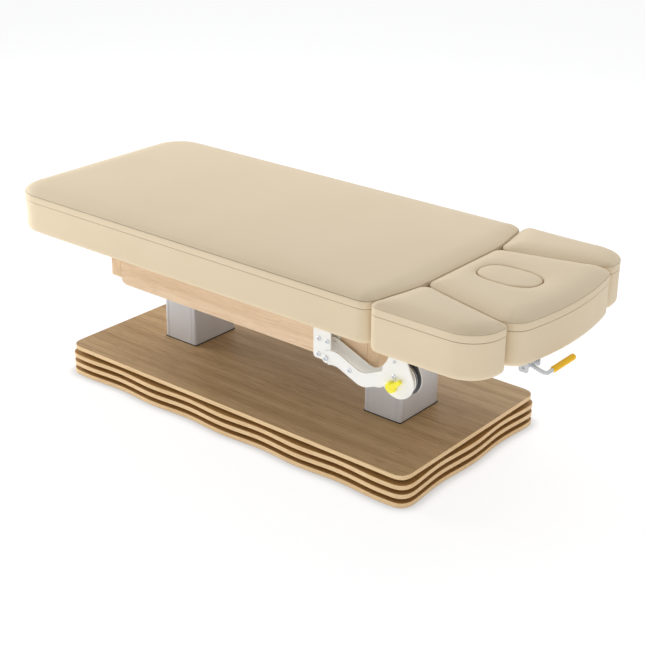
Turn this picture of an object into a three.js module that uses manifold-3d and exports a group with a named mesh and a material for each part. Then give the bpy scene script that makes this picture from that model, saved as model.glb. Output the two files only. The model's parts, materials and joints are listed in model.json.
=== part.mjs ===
// Electric spa bed: a two-column lift base, an oak apron, a main cushion,
// a tilting head cushion with a face hole, and two armrests that drop level.
// Lengths are in mm. +X is the head end, -Y the left side, +Z up, floor at z = 0.
import * as THREE from "three";
import { mergeVertices } from "three/addons/utils/BufferGeometryUtils.js";
import Module from "manifold-3d";

const wasm = await Module();
wasm.setup();

// Fits and overruns
const seat = 0.3;
const overrun = 1;
const weld = 0.001;
const runningFit = 0.4;

// Base: four boards with recessed spacers between them
const baseLength = 1429;
const baseWidth = 717;
const baseCorner = 45;
const boardThickness = 19;
const boardGap = 8.5;
const footHeight = 3.5;
const footRadius = 28;
const footInset = 80;
const spacerInset = 24;
const lowerBoards = 3;
const waveReach = 4.5;
const waveOffset = 2.5;
const waveLongPeriod = 315;
const waveShortPeriod = 330;
const waveStep = 21;

// Lift columns, each of three tubes that slide in one another
const columnX = 439;
const columnAlong = 143;
const columnAcross = 199;
const columnHeight = 316;
const columnWall = 4.5;
const columnSlide = 0.5;
const columnFillet = 9;
const grooveWidth = 3;
const grooveDepth = 1.2;
const grooveInset = 17;
const stageRise = 2;
const capThickness = 8;
const capDrop = 12;
const screwRadius = 9;
const nutRadius = 17;
const motorAcross = 58;
const motorAlong = 62;
const motorHeight = 96;
const motorShift = 42;

// Oak apron under the cushion
const railInset = 65;
const railThickness = 25;
const railDepth = 112.3;
const railFootX = 465;
const railHeadX = 554;
const railCorner = 28;
const beamThickness = 43;
const beamDepth = 91.3;
const beamEdge = 3;
const beamNotchFit = 4;

// Steel cross bearers, control box and mains inlet
const bearerX = 430;
const bearerWidth = 60;
const bearerHeight = 67;
const bearerWall = 4;
const boxLength = 260;
const boxWidth = 150;
const boxHeight = 46;
const boxShift = 40;
const boxEdge = 6;
const inletWidth = 50;
const inletHeight = 28;
const inletDepth = 22;
const inletWall = 4;
const inletRecess = 14;

// Cushion stack: the cover wraps over a plywood board let into its underside
const lowerSeamRise = 105.9;
const upperSeamRise = 128.9;
const padThickness = 143.4;
const padCrown = 4;
const boardThick = 12;
const wrapWidth = 14;
const wrapEdge = 4;
const sideDraw = 1;
const seamDepth = 2.5;
const seamHalf = 2.5;
const topEdgeIn = 4;
const topShoulderIn = 13;
const topShoulderDrop = 5;
const topFlatIn = 34;
const sideLowShare = 0.3;
const sideHighShare = 0.72;
const crownOuterShare = 0.72;
const crownInnerShare = 0.36;
const crownOuterRise = 0.62;
const crownInnerRise = 0.92;

// Main cushion in plan
const padHalfWidth = 400;
const padFootX = 925;
const padHeadX = 638;
const padHeadCornerX = 600;
const padSlantIn = 195;
const padFootRadius = 125;
const padHeadRadius = 42;
const padSlantRadius = 30;

// Armrest cushion in plan
const padGap = 4.5;
const armOverhang = 11;
const armFrontX = 972;
const armTipX = 981;
const armFrontSweep = 106;
const armRearRadius = 24;
const armTipRadius = 24;
const armInnerRadius = 46;

// The slanting line between the head cushion and an armrest
const splitRearIn = 216;
const splitFrontX = 981;
const splitFrontIn = 125;
const splitGap = 4;

// Head cushion in plan
const headStep = 45;
const headRearRadius = 22;
const headSideEndX = 925;
const headCornerX = 983;
const headFrontX = 1029;
const headFrontCornerX = 1005;
const headFrontHalf = 175;
const faceX = 804;
const faceAlong = 100;
const faceAcross = 65;
const faceLedge = 24;
const plugGap = 1.6;
const plugEdge = 3;
const plugCrown = 3;

// Head section: hinge, frame, gas spring and release lever
const hingeX = 650;
const hingeDrop = 12.3;
const hingeRadius = 8;
const hingeHalf = 186;
const hingeEyeRadius = 12;
const hingePlate = 6;
const hingePlateY = 172;
const headBarY = 150;
const headBarWidth = 20;
const headBarHeight = 20;
const headBarLength = 308;
const headTieInset = 40;
const crankLength = 74;
const crankAngle = Math.PI / 12;
const crankHalf = 13;
const crankPlate = 6;
const crankPinRadius = 4;
const crankPinReach = 17;
const springY = 123;
const springRadius = 11;
const springLength = 250;
const springNose = 96;
const springFloor = 12;
const rodRadius = 5;
const rodStroke = 48;
const rodEyeWidth = 6;
const rodEyeHalf = 11;
const rodSlotRise = 5;
const clampWidth = 30;
const clampWall = 7;
const leverX = 987;
const leverTubeDrop = 16.3;
const leverY = 170;
const leverTubeRadius = 7;
const leverEarGap = 58;
const leverEarThick = 3.5;
const leverEarHalf = 15;
const leverEarDrop = 13;
const leverRodRadius = 4.5;
const leverReachX = 1040;
const leverDrop = 14;
const leverBend = 12;
const leverEndY = 30;
const gripRadius = 8;
const gripStartY = 134;
const gripEndY = 22;
const gripEdge = 3;

// Armrest linkage: two swan-neck links between a bracket and a clamped disc
const mountX = 394;
const mountLength = 64;
const mountDepth = 98.3;
const mountHeight = 86;
const mountRadius = 12;
const mountPlate = 4;
const mountReach = 45.6;
const linkPlate = 4;
const linkHalf = 20;
const linkAX = 445;
const linkADrop = 87.3;
const linkBX = 691;
const linkBDrop = 67.3;
const linkShoulderX = 473;
const linkShoulderDrop = 75.3;
const linkDipX = 577;
const linkDipDrop = 119.3;
const linkBend = 26;
const linkBossRadius = 16;
const linkPlateRadius = 46;
const linkRise = 33;
const upperHalf = 26;
const upperEndDrop = 6;
const upperDipX = 598;
const upperDipDrop = 122.3;
const upperTipDrop = 10;
const pinRadius = 6;
const pinProud = 2;
const forkRadius = 55;
const forkX = 702;
const forkDrop = 76;
const forkHalf = 50;
const forkTopHalf = 26;
const forkShoulder = 21;
const forkPlate = 4;
const forkTopThick = 5;
const forkInside = 35;
const knobX = 686;
const knobDrop = 98.3;
const knobRadius = 17;
const knobDepth = 15;
const knobEdge = 4;
const wingX = 716;
const wingDrop = 74.3;
const wingHalf = 7;
const wingThick = 9;
const studRadius = 4;
const studTail = 12;
const slotHalf = 4.8;
const slotTravel = 10;
const slotLead = 1.9;

// Facets
const wideFacets = 40;
const roundFacets = 20;
const smallFacets = 12;
const cornerSteps = 6;
const padSteps = 6;

// Levels that follow from the sizes above. Pieces are drawn from the base's
// centre, and frameShift puts the origin under the middle of the whole bed.
const baseTop = footHeight + boardThickness + lowerBoards * (boardThickness + boardGap);
const columnTop = baseTop + columnHeight;
const capBottom = columnTop + stageRise + stageRise;
const bearerBottom = capBottom + capThickness + seat;
const deckSeat = bearerBottom + bearerHeight;
const deckUnderside = deckSeat + seat;
const railBottom = deckSeat - railDepth;
const beamBottom = deckSeat - beamDepth;
const sideBottom = deckUnderside;
const lowerSeam = sideBottom + lowerSeamRise;
const upperSeam = sideBottom + upperSeamRise;
const padTop = sideBottom + padThickness;
const hingeZ = deckSeat - hingeDrop;
const leverZ = deckSeat - leverTubeDrop;
const mountBottom = deckSeat - mountDepth;
const linkAZ = deckSeat - linkADrop;
const linkBZ = deckSeat - linkBDrop;
const linkShoulderZ = deckSeat - linkShoulderDrop;
const linkDipZ = deckSeat - linkDipDrop;
const forkZ = deckSeat - forkDrop;
const knobZ = deckSeat - knobDrop;
const wingZ = deckSeat - wingDrop;
const railFaceY = padHalfWidth - railInset;
const padSlantY = padHalfWidth - padSlantIn;
const armOuterY = padHalfWidth + armOverhang;
const splitRearY = padHalfWidth - splitRearIn;
const splitFrontY = padHalfWidth - splitFrontIn;
const mountFaceY = railFaceY + mountReach;
const linkFrontY = mountFaceY + seat;
const forkFrontY = linkFrontY + linkPlate + seat;
const forkRearY = forkFrontY + forkPlate - forkInside - forkPlate - forkPlate;
const linkRearY = forkRearY - runningFit - linkPlate;
const springX = hingeX + crankLength * Math.sin(crankAngle);
const springZ = hingeZ - crankLength * Math.cos(crankAngle);
const frameShift = (leverReachX + gripRadius - padFootX) / 2;

const finishes = {
  leatherette: [0xd9cbb0, 0.55, 0],
  oak: [0xd9bd93, 0.6, 0],
  darkOak: [0x8f7a5e, 0.55, 0],
  boardEdge: [0xdcbf95, 0.6, 0],
  shadowBoard: [0x4a2f1a, 0.8, 0],
  satinAluminium: [0xb4afae, 0.38, 0.8],
  whitePaint: [0xf2f2ee, 0.35, 0.1],
  plainSteel: [0x9a9c9e, 0.35, 0.9],
  darkPlastic: [0x2b2b2d, 0.6, 0],
  yellowPlastic: [0xf2dc1e, 0.4, 0],
  amberPlastic: [0xf0a90c, 0.4, 0],
  plywood: [0xc9a877, 0.7, 0],
  rubber: [0x1f1f20, 0.85, 0],
};

const bed = new THREE.Group();
bed.name = "electric_spa_bed";

function addPiece(name, geometry, finishName) {
  const [color, roughness, metalness] = finishes[finishName];
  const material = new THREE.MeshStandardMaterial({ color, roughness, metalness });
  const placed = geometry.clone().translate(-frameShift, 0, 0);
  const mesh = new THREE.Mesh(placed, material);
  mesh.name = name;
  bed.add(mesh);
}

// Solids and booleans

function bareGeometry(geometry) {
  const bare = new THREE.BufferGeometry();
  bare.setAttribute("position", geometry.getAttribute("position").clone());
  if (geometry.index) bare.setIndex(geometry.index.clone());
  return mergeVertices(bare, weld);
}

function toSolid(geometry) {
  const bare = bareGeometry(geometry);
  const mesh = new wasm.Mesh({
    numProp: 3,
    vertProperties: new Float32Array(bare.getAttribute("position").array),
    triVerts: new Uint32Array(bare.index.array),
  });
  return new wasm.Manifold(mesh);
}

function toGeometry(solid) {
  const mesh = solid.getMesh();
  const geometry = new THREE.BufferGeometry();
  geometry.setAttribute("position", new THREE.BufferAttribute(mesh.vertProperties, 3));
  geometry.setIndex(new THREE.BufferAttribute(mesh.triVerts, 1));
  return geometry;
}

function joined(...geometries) {
  const solids = geometries.map(toSolid);
  return toGeometry(solids.reduce((whole, solid) => whole.add(solid)));
}

function cut(body, ...tools) {
  return toGeometry(tools.map(toSolid).reduce((left, tool) => left.subtract(tool), toSolid(body)));
}

// The same piece on the other side of the bed
function mirrored(geometry) {
  const copy = bareGeometry(geometry);
  copy.scale(1, -1, 1);
  const index = copy.index.array;
  for (let i = 0; i < index.length; i += 3) {
    [index[i + 1], index[i + 2]] = [index[i + 2], index[i + 1]];
  }
  return copy;
}

// Primitive pieces given by their limits

function block(x0, x1, y0, y1, z0, z1) {
  const geometry = new THREE.BoxGeometry(x1 - x0, y1 - y0, z1 - z0);
  return geometry.translate((x0 + x1) / 2, (y0 + y1) / 2, (z0 + z1) / 2);
}

function slab(shape, z0, z1) {
  const options = { depth: z1 - z0, bevelEnabled: false, curveSegments: cornerSteps };
  return new THREE.ExtrudeGeometry(shape, options).translate(0, 0, z0);
}

// A plate drawn in x and z, standing between two depths
function upright(shape, y0, y1) {
  const options = { depth: y1 - y0, bevelEnabled: false, curveSegments: cornerSteps };
  return new THREE.ExtrudeGeometry(shape, options).rotateX(Math.PI / 2).translate(0, y1, 0);
}

function rodAcross(radius, y0, y1, x, z, facets = roundFacets) {
  const geometry = new THREE.CylinderGeometry(radius, radius, y1 - y0, facets);
  return geometry.translate(x, (y0 + y1) / 2, z);
}

function rodAlong(radius, x0, x1, y, z, facets = roundFacets) {
  const geometry = new THREE.CylinderGeometry(radius, radius, x1 - x0, facets).rotateZ(Math.PI / 2);
  return geometry.translate((x0 + x1) / 2, y, z);
}

function rodUp(radius, z0, z1, x, y, facets = roundFacets) {
  const geometry = new THREE.CylinderGeometry(radius, radius, z1 - z0, facets).rotateX(Math.PI / 2);
  return geometry.translate(x, y, (z0 + z1) / 2);
}

// Closed outline through corners [x, y, radius], each corner blended by a curve
function cornered(corners, ShapeKind = THREE.Shape) {
  const shape = new ShapeKind();
  const at = (i) => new THREE.Vector2(...corners[(i + corners.length) % corners.length]);
  corners.forEach(([x, y, radius], i) => {
    const here = new THREE.Vector2(x, y);
    const arrive = at(i - 1).sub(here).setLength(radius).add(here);
    const leave = at(i + 1).sub(here).setLength(radius).add(here);
    if (i === 0) shape.moveTo(arrive.x, arrive.y);
    else shape.lineTo(arrive.x, arrive.y);
    if (radius > 0) shape.quadraticCurveTo(x, y, leave.x, leave.y);
  });
  shape.closePath();
  return shape;
}

function rectangle(halfX, halfY, radius, ShapeKind = THREE.Shape) {
  const corners = [
    [-halfX, -halfY, radius],
    [halfX, -halfY, radius],
    [halfX, halfY, radius],
    [-halfX, halfY, radius],
  ];
  return cornered(corners, ShapeKind);
}

// Base

// One side of the waved outline, from one corner to the next
function waveSide(half, offset, period, place) {
  const steps = Math.round((half + half) / waveStep);
  for (let i = 0; i <= steps; i += 1) {
    const along = -half + ((half + half) * i) / steps;
    const out = offset + waveOffset + waveReach * Math.cos((2 * Math.PI * along) / period);
    place(along, out);
  }
}

function wavedOutline() {
  const halfX = baseLength / 2;
  const halfY = baseWidth / 2;
  const points = [];
  const add = (x, y) => points.push(new THREE.Vector2(x, y));
  const longHalf = halfX - baseCorner;
  const shortHalf = halfY - baseCorner;
  waveSide(longHalf, halfY, waveLongPeriod, (along, out) => add(along, -out));
  waveSide(shortHalf, halfX, waveShortPeriod, (along, out) => add(out, along));
  waveSide(longHalf, halfY, waveLongPeriod, (along, out) => add(-along, out));
  waveSide(shortHalf, halfX, waveShortPeriod, (along, out) => add(-out, -along));
  return roundGaps(points, halfX, halfY);
}

// Fills the four open corners of the waved outline with a curve
function roundGaps(points, halfX, halfY) {
  const shape = new THREE.Shape();
  points.forEach((point, i) => {
    const next = points[(i + 1) % points.length];
    if (i === 0) shape.moveTo(point.x, point.y);
    const turns = Math.abs(next.x - point.x) > waveStep && Math.abs(next.y - point.y) > waveStep;
    if (!turns) {
      if (i < points.length - 1) shape.lineTo(next.x, next.y);
      return;
    }
    const cornerX = Math.sign(point.x) * Math.max(Math.abs(point.x), Math.abs(next.x));
    const cornerY = Math.sign(point.y) * Math.max(Math.abs(point.y), Math.abs(next.y));
    shape.quadraticCurveTo(cornerX, cornerY, next.x, next.y);
  });
  return shape;
}

function addBase() {
  const topOutline = rectangle(baseLength / 2, baseWidth / 2, baseCorner);
  addPiece("base_top_board", slab(topOutline, baseTop - boardThickness, baseTop), "darkOak");
  const waved = wavedOutline();
  const coreHalfX = baseLength / 2 - spacerInset;
  const coreHalfY = baseWidth / 2 - spacerInset;
  const coreOutline = rectangle(coreHalfX, coreHalfY, baseCorner);
  const pitch = boardThickness + boardGap;
  for (let level = 1; level <= lowerBoards; level += 1) {
    const top = baseTop - level * pitch;
    addPiece(`base_wave_board_${level}`, slab(waved, top - boardThickness, top), "boardEdge");
    addPiece(`base_spacer_${level}`, slab(coreOutline, top + seat, top + boardGap - seat), "shadowBoard");
  }
}

function addFeet() {
  const x = baseLength / 2 - footInset;
  const y = baseWidth / 2 - footInset;
  const places = { head_left: [x, -y], head_right: [x, y], foot_left: [-x, -y], foot_right: [-x, y] };
  for (const [place, [footX, footY]] of Object.entries(places)) {
    const pad = rodUp(footRadius, 0, footHeight - seat, footX, footY);
    addPiece(`base_glide_${place}`, pad, "rubber");
  }
}

// Lift columns

function tubeOutline(halfX, halfY, radius, wall) {
  const shape = rectangle(halfX, halfY, radius);
  shape.holes.push(rectangle(halfX - wall, halfY - wall, Math.max(radius - wall, wall), THREE.Path));
  return shape;
}

// The grooves that run up the faces of the outer profile near its edges
function columnGrooves(halfX, halfY, z0, z1) {
  const grooves = [];
  for (const sideX of [-1, 1]) {
    for (const sideY of [-1, 1]) {
      const x = sideX * (halfX - grooveInset);
      const y = sideY * halfY;
      const depth = [y - grooveDepth, y + grooveDepth];
      grooves.push(block(x - grooveWidth / 2, x + grooveWidth / 2, ...depth, z0, z1));
      const faceX = sideX * halfX;
      const faceY = sideY * (halfY - grooveInset);
      const reach = [faceX - grooveDepth, faceX + grooveDepth];
      grooves.push(block(...reach, faceY - grooveWidth / 2, faceY + grooveWidth / 2, z0, z1));
    }
  }
  return grooves;
}

function addColumn(place, x) {
  const halfX = columnAlong / 2;
  const halfY = columnAcross / 2;
  const step = columnWall + columnSlide;
  const bottom = baseTop + seat;
  const outer = slab(tubeOutline(halfX, halfY, columnFillet, columnWall), bottom, columnTop);
  const grooves = columnGrooves(halfX, halfY, bottom - overrun, columnTop + overrun);
  addPiece(`column_${place}_outer`, cut(outer, ...grooves).translate(x, 0, 0), "satinAluminium");
  const names = ["middle", "inner"];
  names.forEach((name, i) => {
    const inset = (i + 1) * step;
    const outline = tubeOutline(halfX - inset, halfY - inset, columnFillet, columnWall);
    const lift = (i + 1) * stageRise;
    const tube = slab(outline, bottom + lift, columnTop + lift - seat);
    addPiece(`column_${place}_${name}`, tube.translate(x, 0, 0), "satinAluminium");
  });
  addColumnCap(place, x, halfX - step - step, halfY - step - step);
  addColumnDrive(place, x);
}

// Cap plate on the inner tube, with a spigot that drops into it
function addColumnCap(place, x, innerX, innerY) {
  const outline = rectangle(columnAlong / 2, columnAcross / 2, columnFillet);
  const plate = slab(outline, capBottom, capBottom + capThickness);
  const inset = columnWall + seat;
  const spigotOutline = rectangle(innerX - inset, innerY - inset, columnWall);
  const spigot = slab(spigotOutline, capBottom - capDrop, capBottom + capThickness / 2);
  const spindleBore = rodUp(nutRadius + runningFit, capBottom - capDrop - overrun, capBottom, 0, 0);
  const cap = cut(joined(plate, spigot), spindleBore);
  addPiece(`column_${place}_cap`, cap.translate(x, 0, 0), "plainSteel");
}

// The drive inside a column: a screw on the base, a nut tube and motor above
function addColumnDrive(place, x) {
  const screwTop = capBottom - capDrop;
  const screw = rodUp(screwRadius, baseTop + seat, screwTop, x, 0, smallFacets);
  addPiece(`lift_screw_${place}`, screw, "plainSteel");
  const tubeBottom = baseTop + stageRise + stageRise + stageRise;
  const nut = rodUp(nutRadius, tubeBottom, capBottom - seat, 0, 0);
  const motorTop = capBottom - capDrop - seat;
  const motorY = [motorShift - motorAcross / 2, motorShift + motorAcross / 2];
  const motor = block(-motorAlong / 2, motorAlong / 2, ...motorY, motorTop - motorHeight, motorTop);
  const bore = rodUp(screwRadius + runningFit, tubeBottom - overrun, screwTop + stageRise, 0, 0, smallFacets);
  addPiece(`lift_motor_${place}`, cut(joined(nut, motor), bore).translate(x, 0, 0), "darkPlastic");
}

// Oak apron

function addRail(side) {
  const corners = [
    [-railFootX, railBottom, railCorner],
    [railHeadX, railBottom, railCorner],
    [railHeadX, deckSeat, 0],
    [-railFootX, deckSeat, 0],
  ];
  const rail = upright(cornered(corners), -railFaceY, -railFaceY + railThickness);
  const left = side === "left";
  addPiece(`apron_rail_${side}`, left ? rail : mirrored(rail), "oak");
}

// Cross beam at an end of the rails, notched over the column cap or the gas spring
function addBeam(name, x0, notchY) {
  const halfX = beamThickness / 2;
  const outline = rectangle(halfX, railFaceY, beamEdge);
  const beam = slab(outline, beamBottom, deckSeat);
  const notch = block(-beamThickness, beamThickness, -notchY, notchY, beamBottom - overrun, bearerBottom);
  addPiece(name, cut(beam, notch).translate(x0 + halfX, 0, 0), "oak");
}

function bearer(x) {
  const halfX = bearerWidth / 2;
  const reach = railFaceY - railThickness - seat;
  const tube = block(x - halfX, x + halfX, -reach, reach, bearerBottom, deckSeat);
  const hollow = block(
    x - halfX + bearerWall,
    x + halfX - bearerWall,
    -reach - overrun,
    reach + overrun,
    bearerBottom + bearerWall,
    deckSeat - bearerWall,
  );
  return cut(tube, hollow);
}

function addBearers() {
  addPiece("bearer_foot", bearer(-bearerX), "plainSteel");
  const half = clampWidth / 2;
  const wide = springRadius + clampWall;
  const clamp = block(
    bearerX - half,
    bearerX + half,
    springY - wide,
    springY + wide,
    springZ - wide,
    bearerBottom + bearerWall / 2,
  );
  const bore = rodAlong(springRadius + seat, bearerX - bearerWidth, bearerX + bearerWidth, springY, springZ);
  addPiece("bearer_head", cut(joined(bearer(bearerX), clamp), bore), "plainSteel");
}

function addControls() {
  const top = deckSeat;
  const halfX = boxLength / 2;
  const halfY = boxWidth / 2;
  const box = slab(rectangle(halfX, halfY, boxEdge), top - boxHeight, top).translate(-boxShift, 0, 0);
  const faceX = -boxShift - halfX;
  const middle = top - boxHeight / 2;
  const pocket = block(
    faceX - overrun,
    faceX + inletDepth / 2,
    -inletWidth / 2,
    inletWidth / 2,
    middle - inletHeight / 2,
    middle + inletHeight / 2,
  );
  addPiece("control_box", cut(box, pocket), "darkPlastic");
  const back = faceX + inletDepth / 2 - seat;
  const y = inletWidth / 2 - seat;
  const z = inletHeight / 2 - seat;
  const body = block(back - inletDepth, back, -y, y, middle - z, middle + z);
  const mouth = block(
    back - inletDepth - overrun,
    back - inletDepth + inletRecess,
    -y + inletWall,
    y - inletWall,
    middle - z + inletWall,
    middle + z - inletWall,
  );
  addPiece("mains_inlet", cut(body, mouth), "rubber");
}

// Cushions, built as rings of points set in from an outline

function outlinePoints(shape) {
  const points = shape.getPoints(padSteps);
  if (points[0].distanceTo(points[points.length - 1]) < seat) points.pop();
  return points;
}

// Draws a convex outline in by an inset, each point along its line to the centre
function insetPoints(points, inset) {
  const centre = centreOf(points);
  const edges = points.map((point, i) => {
    const next = points[(i + 1) % points.length];
    const normal = new THREE.Vector2(next.y - point.y, point.x - next.x).normalize();
    return { normal, reach: point.clone().sub(centre).dot(normal) - inset };
  });
  return points.map((point) => {
    const ray = point.clone().sub(centre);
    const facing = edges.filter(({ normal }) => normal.dot(ray) > 0);
    const share = Math.min(...facing.map(({ normal, reach }) => reach / normal.dot(ray)));
    return ray.multiplyScalar(share).add(centre);
  });
}

function shrunkPoints(points, centre, share) {
  return points.map((point) => point.clone().sub(centre).multiplyScalar(share).add(centre));
}

// Heights and insets of the sides, from the wrapped underside to the top edge
function sideProfile() {
  const panel = lowerSeam - sideBottom;
  return [
    [wrapWidth, sideBottom],
    [wrapEdge, sideBottom],
    [0, sideBottom + wrapEdge],
    [sideDraw, sideBottom + panel * sideLowShare],
    [sideDraw, sideBottom + panel * sideHighShare],
    [0, lowerSeam - seamHalf],
    [seamDepth, lowerSeam],
    [0, lowerSeam + seamHalf],
    [0, upperSeam - seamHalf],
    [seamDepth + topEdgeIn / 2, upperSeam],
    [topEdgeIn, upperSeam + seamHalf],
    [topShoulderIn, padTop - topShoulderDrop],
    [topFlatIn, padTop],
  ];
}

// Skins rings of equal length; loops back to the first ring or closes with fans
function skin(rings, caps) {
  const count = rings[0].length;
  const positions = rings.flat().flatMap((p) => [p.x, p.y, p.z]);
  const index = [];
  const bands = caps ? rings.length - 1 : rings.length;
  for (let r = 0; r < bands; r += 1) {
    const low = r * count;
    const high = ((r + 1) % rings.length) * count;
    for (let i = 0; i < count; i += 1) {
      const j = (i + 1) % count;
      index.push(low + i, low + j, high + j, low + i, high + j, high + i);
    }
  }
  if (caps) {
    const first = positions.length / 3;
    caps.forEach((cap) => positions.push(cap.x, cap.y, cap.z));
    const last = (rings.length - 1) * count;
    for (let i = 0; i < count; i += 1) {
      const j = (i + 1) % count;
      index.push(first, j, i, first + 1, last + i, last + j);
    }
  }
  const geometry = new THREE.BufferGeometry();
  geometry.setAttribute("position", new THREE.Float32BufferAttribute(positions, 3));
  geometry.setIndex(index);
  return geometry;
}

function lifted(points, z) {
  return points.map((point) => new THREE.Vector3(point.x, point.y, z));
}

function centreOf(points) {
  const box = new THREE.Box2().setFromPoints(points);
  return box.getCenter(new THREE.Vector2());
}

// A plain upholstered cushion with a pocket for its board
function cushion(shape) {
  const points = outlinePoints(shape);
  const centre = centreOf(points);
  const ceiling = sideBottom + boardThick + seat;
  const rings = [lifted(insetPoints(points, wrapWidth), ceiling)];
  for (const [inset, z] of sideProfile()) rings.push(lifted(insetPoints(points, inset), z));
  const flat = insetPoints(points, topFlatIn);
  rings.push(lifted(shrunkPoints(flat, centre, crownOuterShare), padTop + padCrown * crownOuterRise));
  rings.push(lifted(shrunkPoints(flat, centre, crownInnerShare), padTop + padCrown * crownInnerRise));
  const under = new THREE.Vector3(centre.x, centre.y, ceiling);
  const crown = new THREE.Vector3(centre.x, centre.y, padTop + padCrown);
  return skin(rings, [under, crown]);
}

function cushionBoard(shape, hole) {
  const points = insetPoints(outlinePoints(shape), wrapWidth + seat);
  const outline = new THREE.Shape(points);
  if (hole) outline.holes.push(hole);
  return slab(outline, deckUnderside, deckUnderside + boardThick);
}

function mainPlan() {
  return cornered([
    [-padFootX, -padHalfWidth, padFootRadius],
    [padHeadCornerX, -padHalfWidth, padHeadRadius],
    [padHeadX, -padSlantY, padSlantRadius],
    [padHeadX, padSlantY, padSlantRadius],
    [padHeadCornerX, padHalfWidth, padHeadRadius],
    [-padFootX, padHalfWidth, padFootRadius],
  ]);
}

function addMainCushion() {
  addPiece("main_board", cushionBoard(mainPlan()), "plywood");
  addPiece("main_cushion", cushion(mainPlan()), "leatherette");
}

// Depth of the head cushion's edge at a station along the bed
function splitY(x) {
  const rearX = padHeadX + padGap;
  return splitRearY + ((splitFrontY - splitRearY) * (x - rearX)) / (splitFrontX - rearX);
}

// Head section

function headPlan() {
  const rearX = padHeadX + padGap;
  const edge = (x) => splitY(x) - splitGap / 2;
  const shape = new THREE.Shape();
  shape.moveTo(rearX, -edge(rearX) + headRearRadius);
  shape.quadraticCurveTo(rearX, -edge(rearX), rearX + headRearRadius, -edge(rearX + headRearRadius));
  shape.lineTo(headSideEndX, -edge(headSideEndX));
  shape.quadraticCurveTo(headCornerX, -edge(headCornerX), headFrontCornerX, -headFrontHalf);
  const bulge = headFrontX + headFrontX - headFrontCornerX;
  shape.quadraticCurveTo(bulge, 0, headFrontCornerX, headFrontHalf);
  shape.quadraticCurveTo(headCornerX, edge(headCornerX), headSideEndX, edge(headSideEndX));
  shape.lineTo(rearX + headRearRadius, edge(rearX + headRearRadius));
  shape.quadraticCurveTo(rearX, edge(rearX), rearX, edge(rearX) - headRearRadius);
  return shape;
}

// Outline of the head cushion with its long edges divided
function headPoints() {
  const corners = outlinePoints(headPlan());
  return corners.flatMap((point, i) => {
    const next = corners[(i + 1) % corners.length];
    const steps = Math.ceil(point.distanceTo(next) / headStep);
    return Array.from({ length: steps }, (_, k) => point.clone().lerp(next, k / steps));
  });
}

// Point of the face oval that lies towards a given outline point
function ovalPoint(point, margin) {
  const angle = Math.atan2((point.y * faceAlong) / faceAcross, point.x - faceX);
  const x = faceX + (faceAlong + margin) * Math.cos(angle);
  return new THREE.Vector2(x, (faceAcross + margin) * Math.sin(angle));
}

function headCushion() {
  const points = headPoints();
  const ceiling = sideBottom + boardThick + seat;
  const oval = (margin) => points.map((point) => ovalPoint(point, margin));
  const rings = [lifted(oval(0), ceiling), lifted(insetPoints(points, wrapWidth), ceiling)];
  for (const [inset, z] of sideProfile()) rings.push(lifted(insetPoints(points, inset), z));
  const flat = insetPoints(points, topFlatIn);
  const lip = oval(plugEdge + plugEdge);
  const between = flat.map((point, i) => point.clone().add(lip[i]).multiplyScalar(0.5));
  rings.push(lifted(between, padTop + padCrown * crownOuterRise));
  rings.push(lifted(lip, padTop + padCrown * crownInnerRise));
  rings.push(lifted(oval(0), padTop - plugEdge));
  return skin(rings, null);
}

function addHeadPads() {
  addPiece("head_cushion", headCushion(), "leatherette");
  const boardHole = new THREE.Path(headPoints().map((point) => ovalPoint(point, -faceLedge)));
  addPiece("head_board", cushionBoard(headPlan(), boardHole), "plywood");
  const points = headPoints().map((point) => ovalPoint(point, -plugGap));
  const centre = new THREE.Vector2(faceX, 0);
  const bottom = sideBottom + boardThick + seat;
  const rings = [
    lifted(insetPoints(points, plugEdge), bottom),
    lifted(points, bottom + plugEdge),
    lifted(points, padTop - plugEdge),
    lifted(insetPoints(points, plugEdge), padTop),
    lifted(shrunkPoints(points, centre, crownOuterShare), padTop + plugCrown),
  ];
  const under = new THREE.Vector3(faceX, 0, bottom);
  const crown = new THREE.Vector3(faceX, 0, padTop + plugCrown + plugCrown / 2);
  addPiece("face_hole_plug", skin(rings, [under, crown]), "leatherette");
}

function addHinge() {
  const shaft = rodAcross(hingeRadius, -hingeHalf, hingeHalf, hingeX, hingeZ);
  addPiece("head_hinge_shaft", shaft, "plainSteel");
  const beamFace = railHeadX + seat + beamThickness + seat;
  const corners = [
    [beamFace, hingeZ - hingeEyeRadius, 0],
    [hingeX, hingeZ - hingeEyeRadius, 0],
    [hingeX, deckSeat - seat, 0],
    [beamFace, deckSeat - seat, 0],
  ];
  const depth = [-hingePlateY - hingePlate, -hingePlateY];
  const plate = joined(
    upright(cornered(corners), ...depth),
    rodAcross(hingeEyeRadius, ...depth, hingeX, hingeZ),
  );
  const bore = rodAcross(hingeRadius + seat, -hingeHalf, -hingePlateY + hingePlate, hingeX, hingeZ);
  const bracket = cut(plate, bore);
  addPiece("hinge_bracket_left", bracket, "whitePaint");
  addPiece("hinge_bracket_right", mirrored(bracket), "whitePaint");
}

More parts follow.
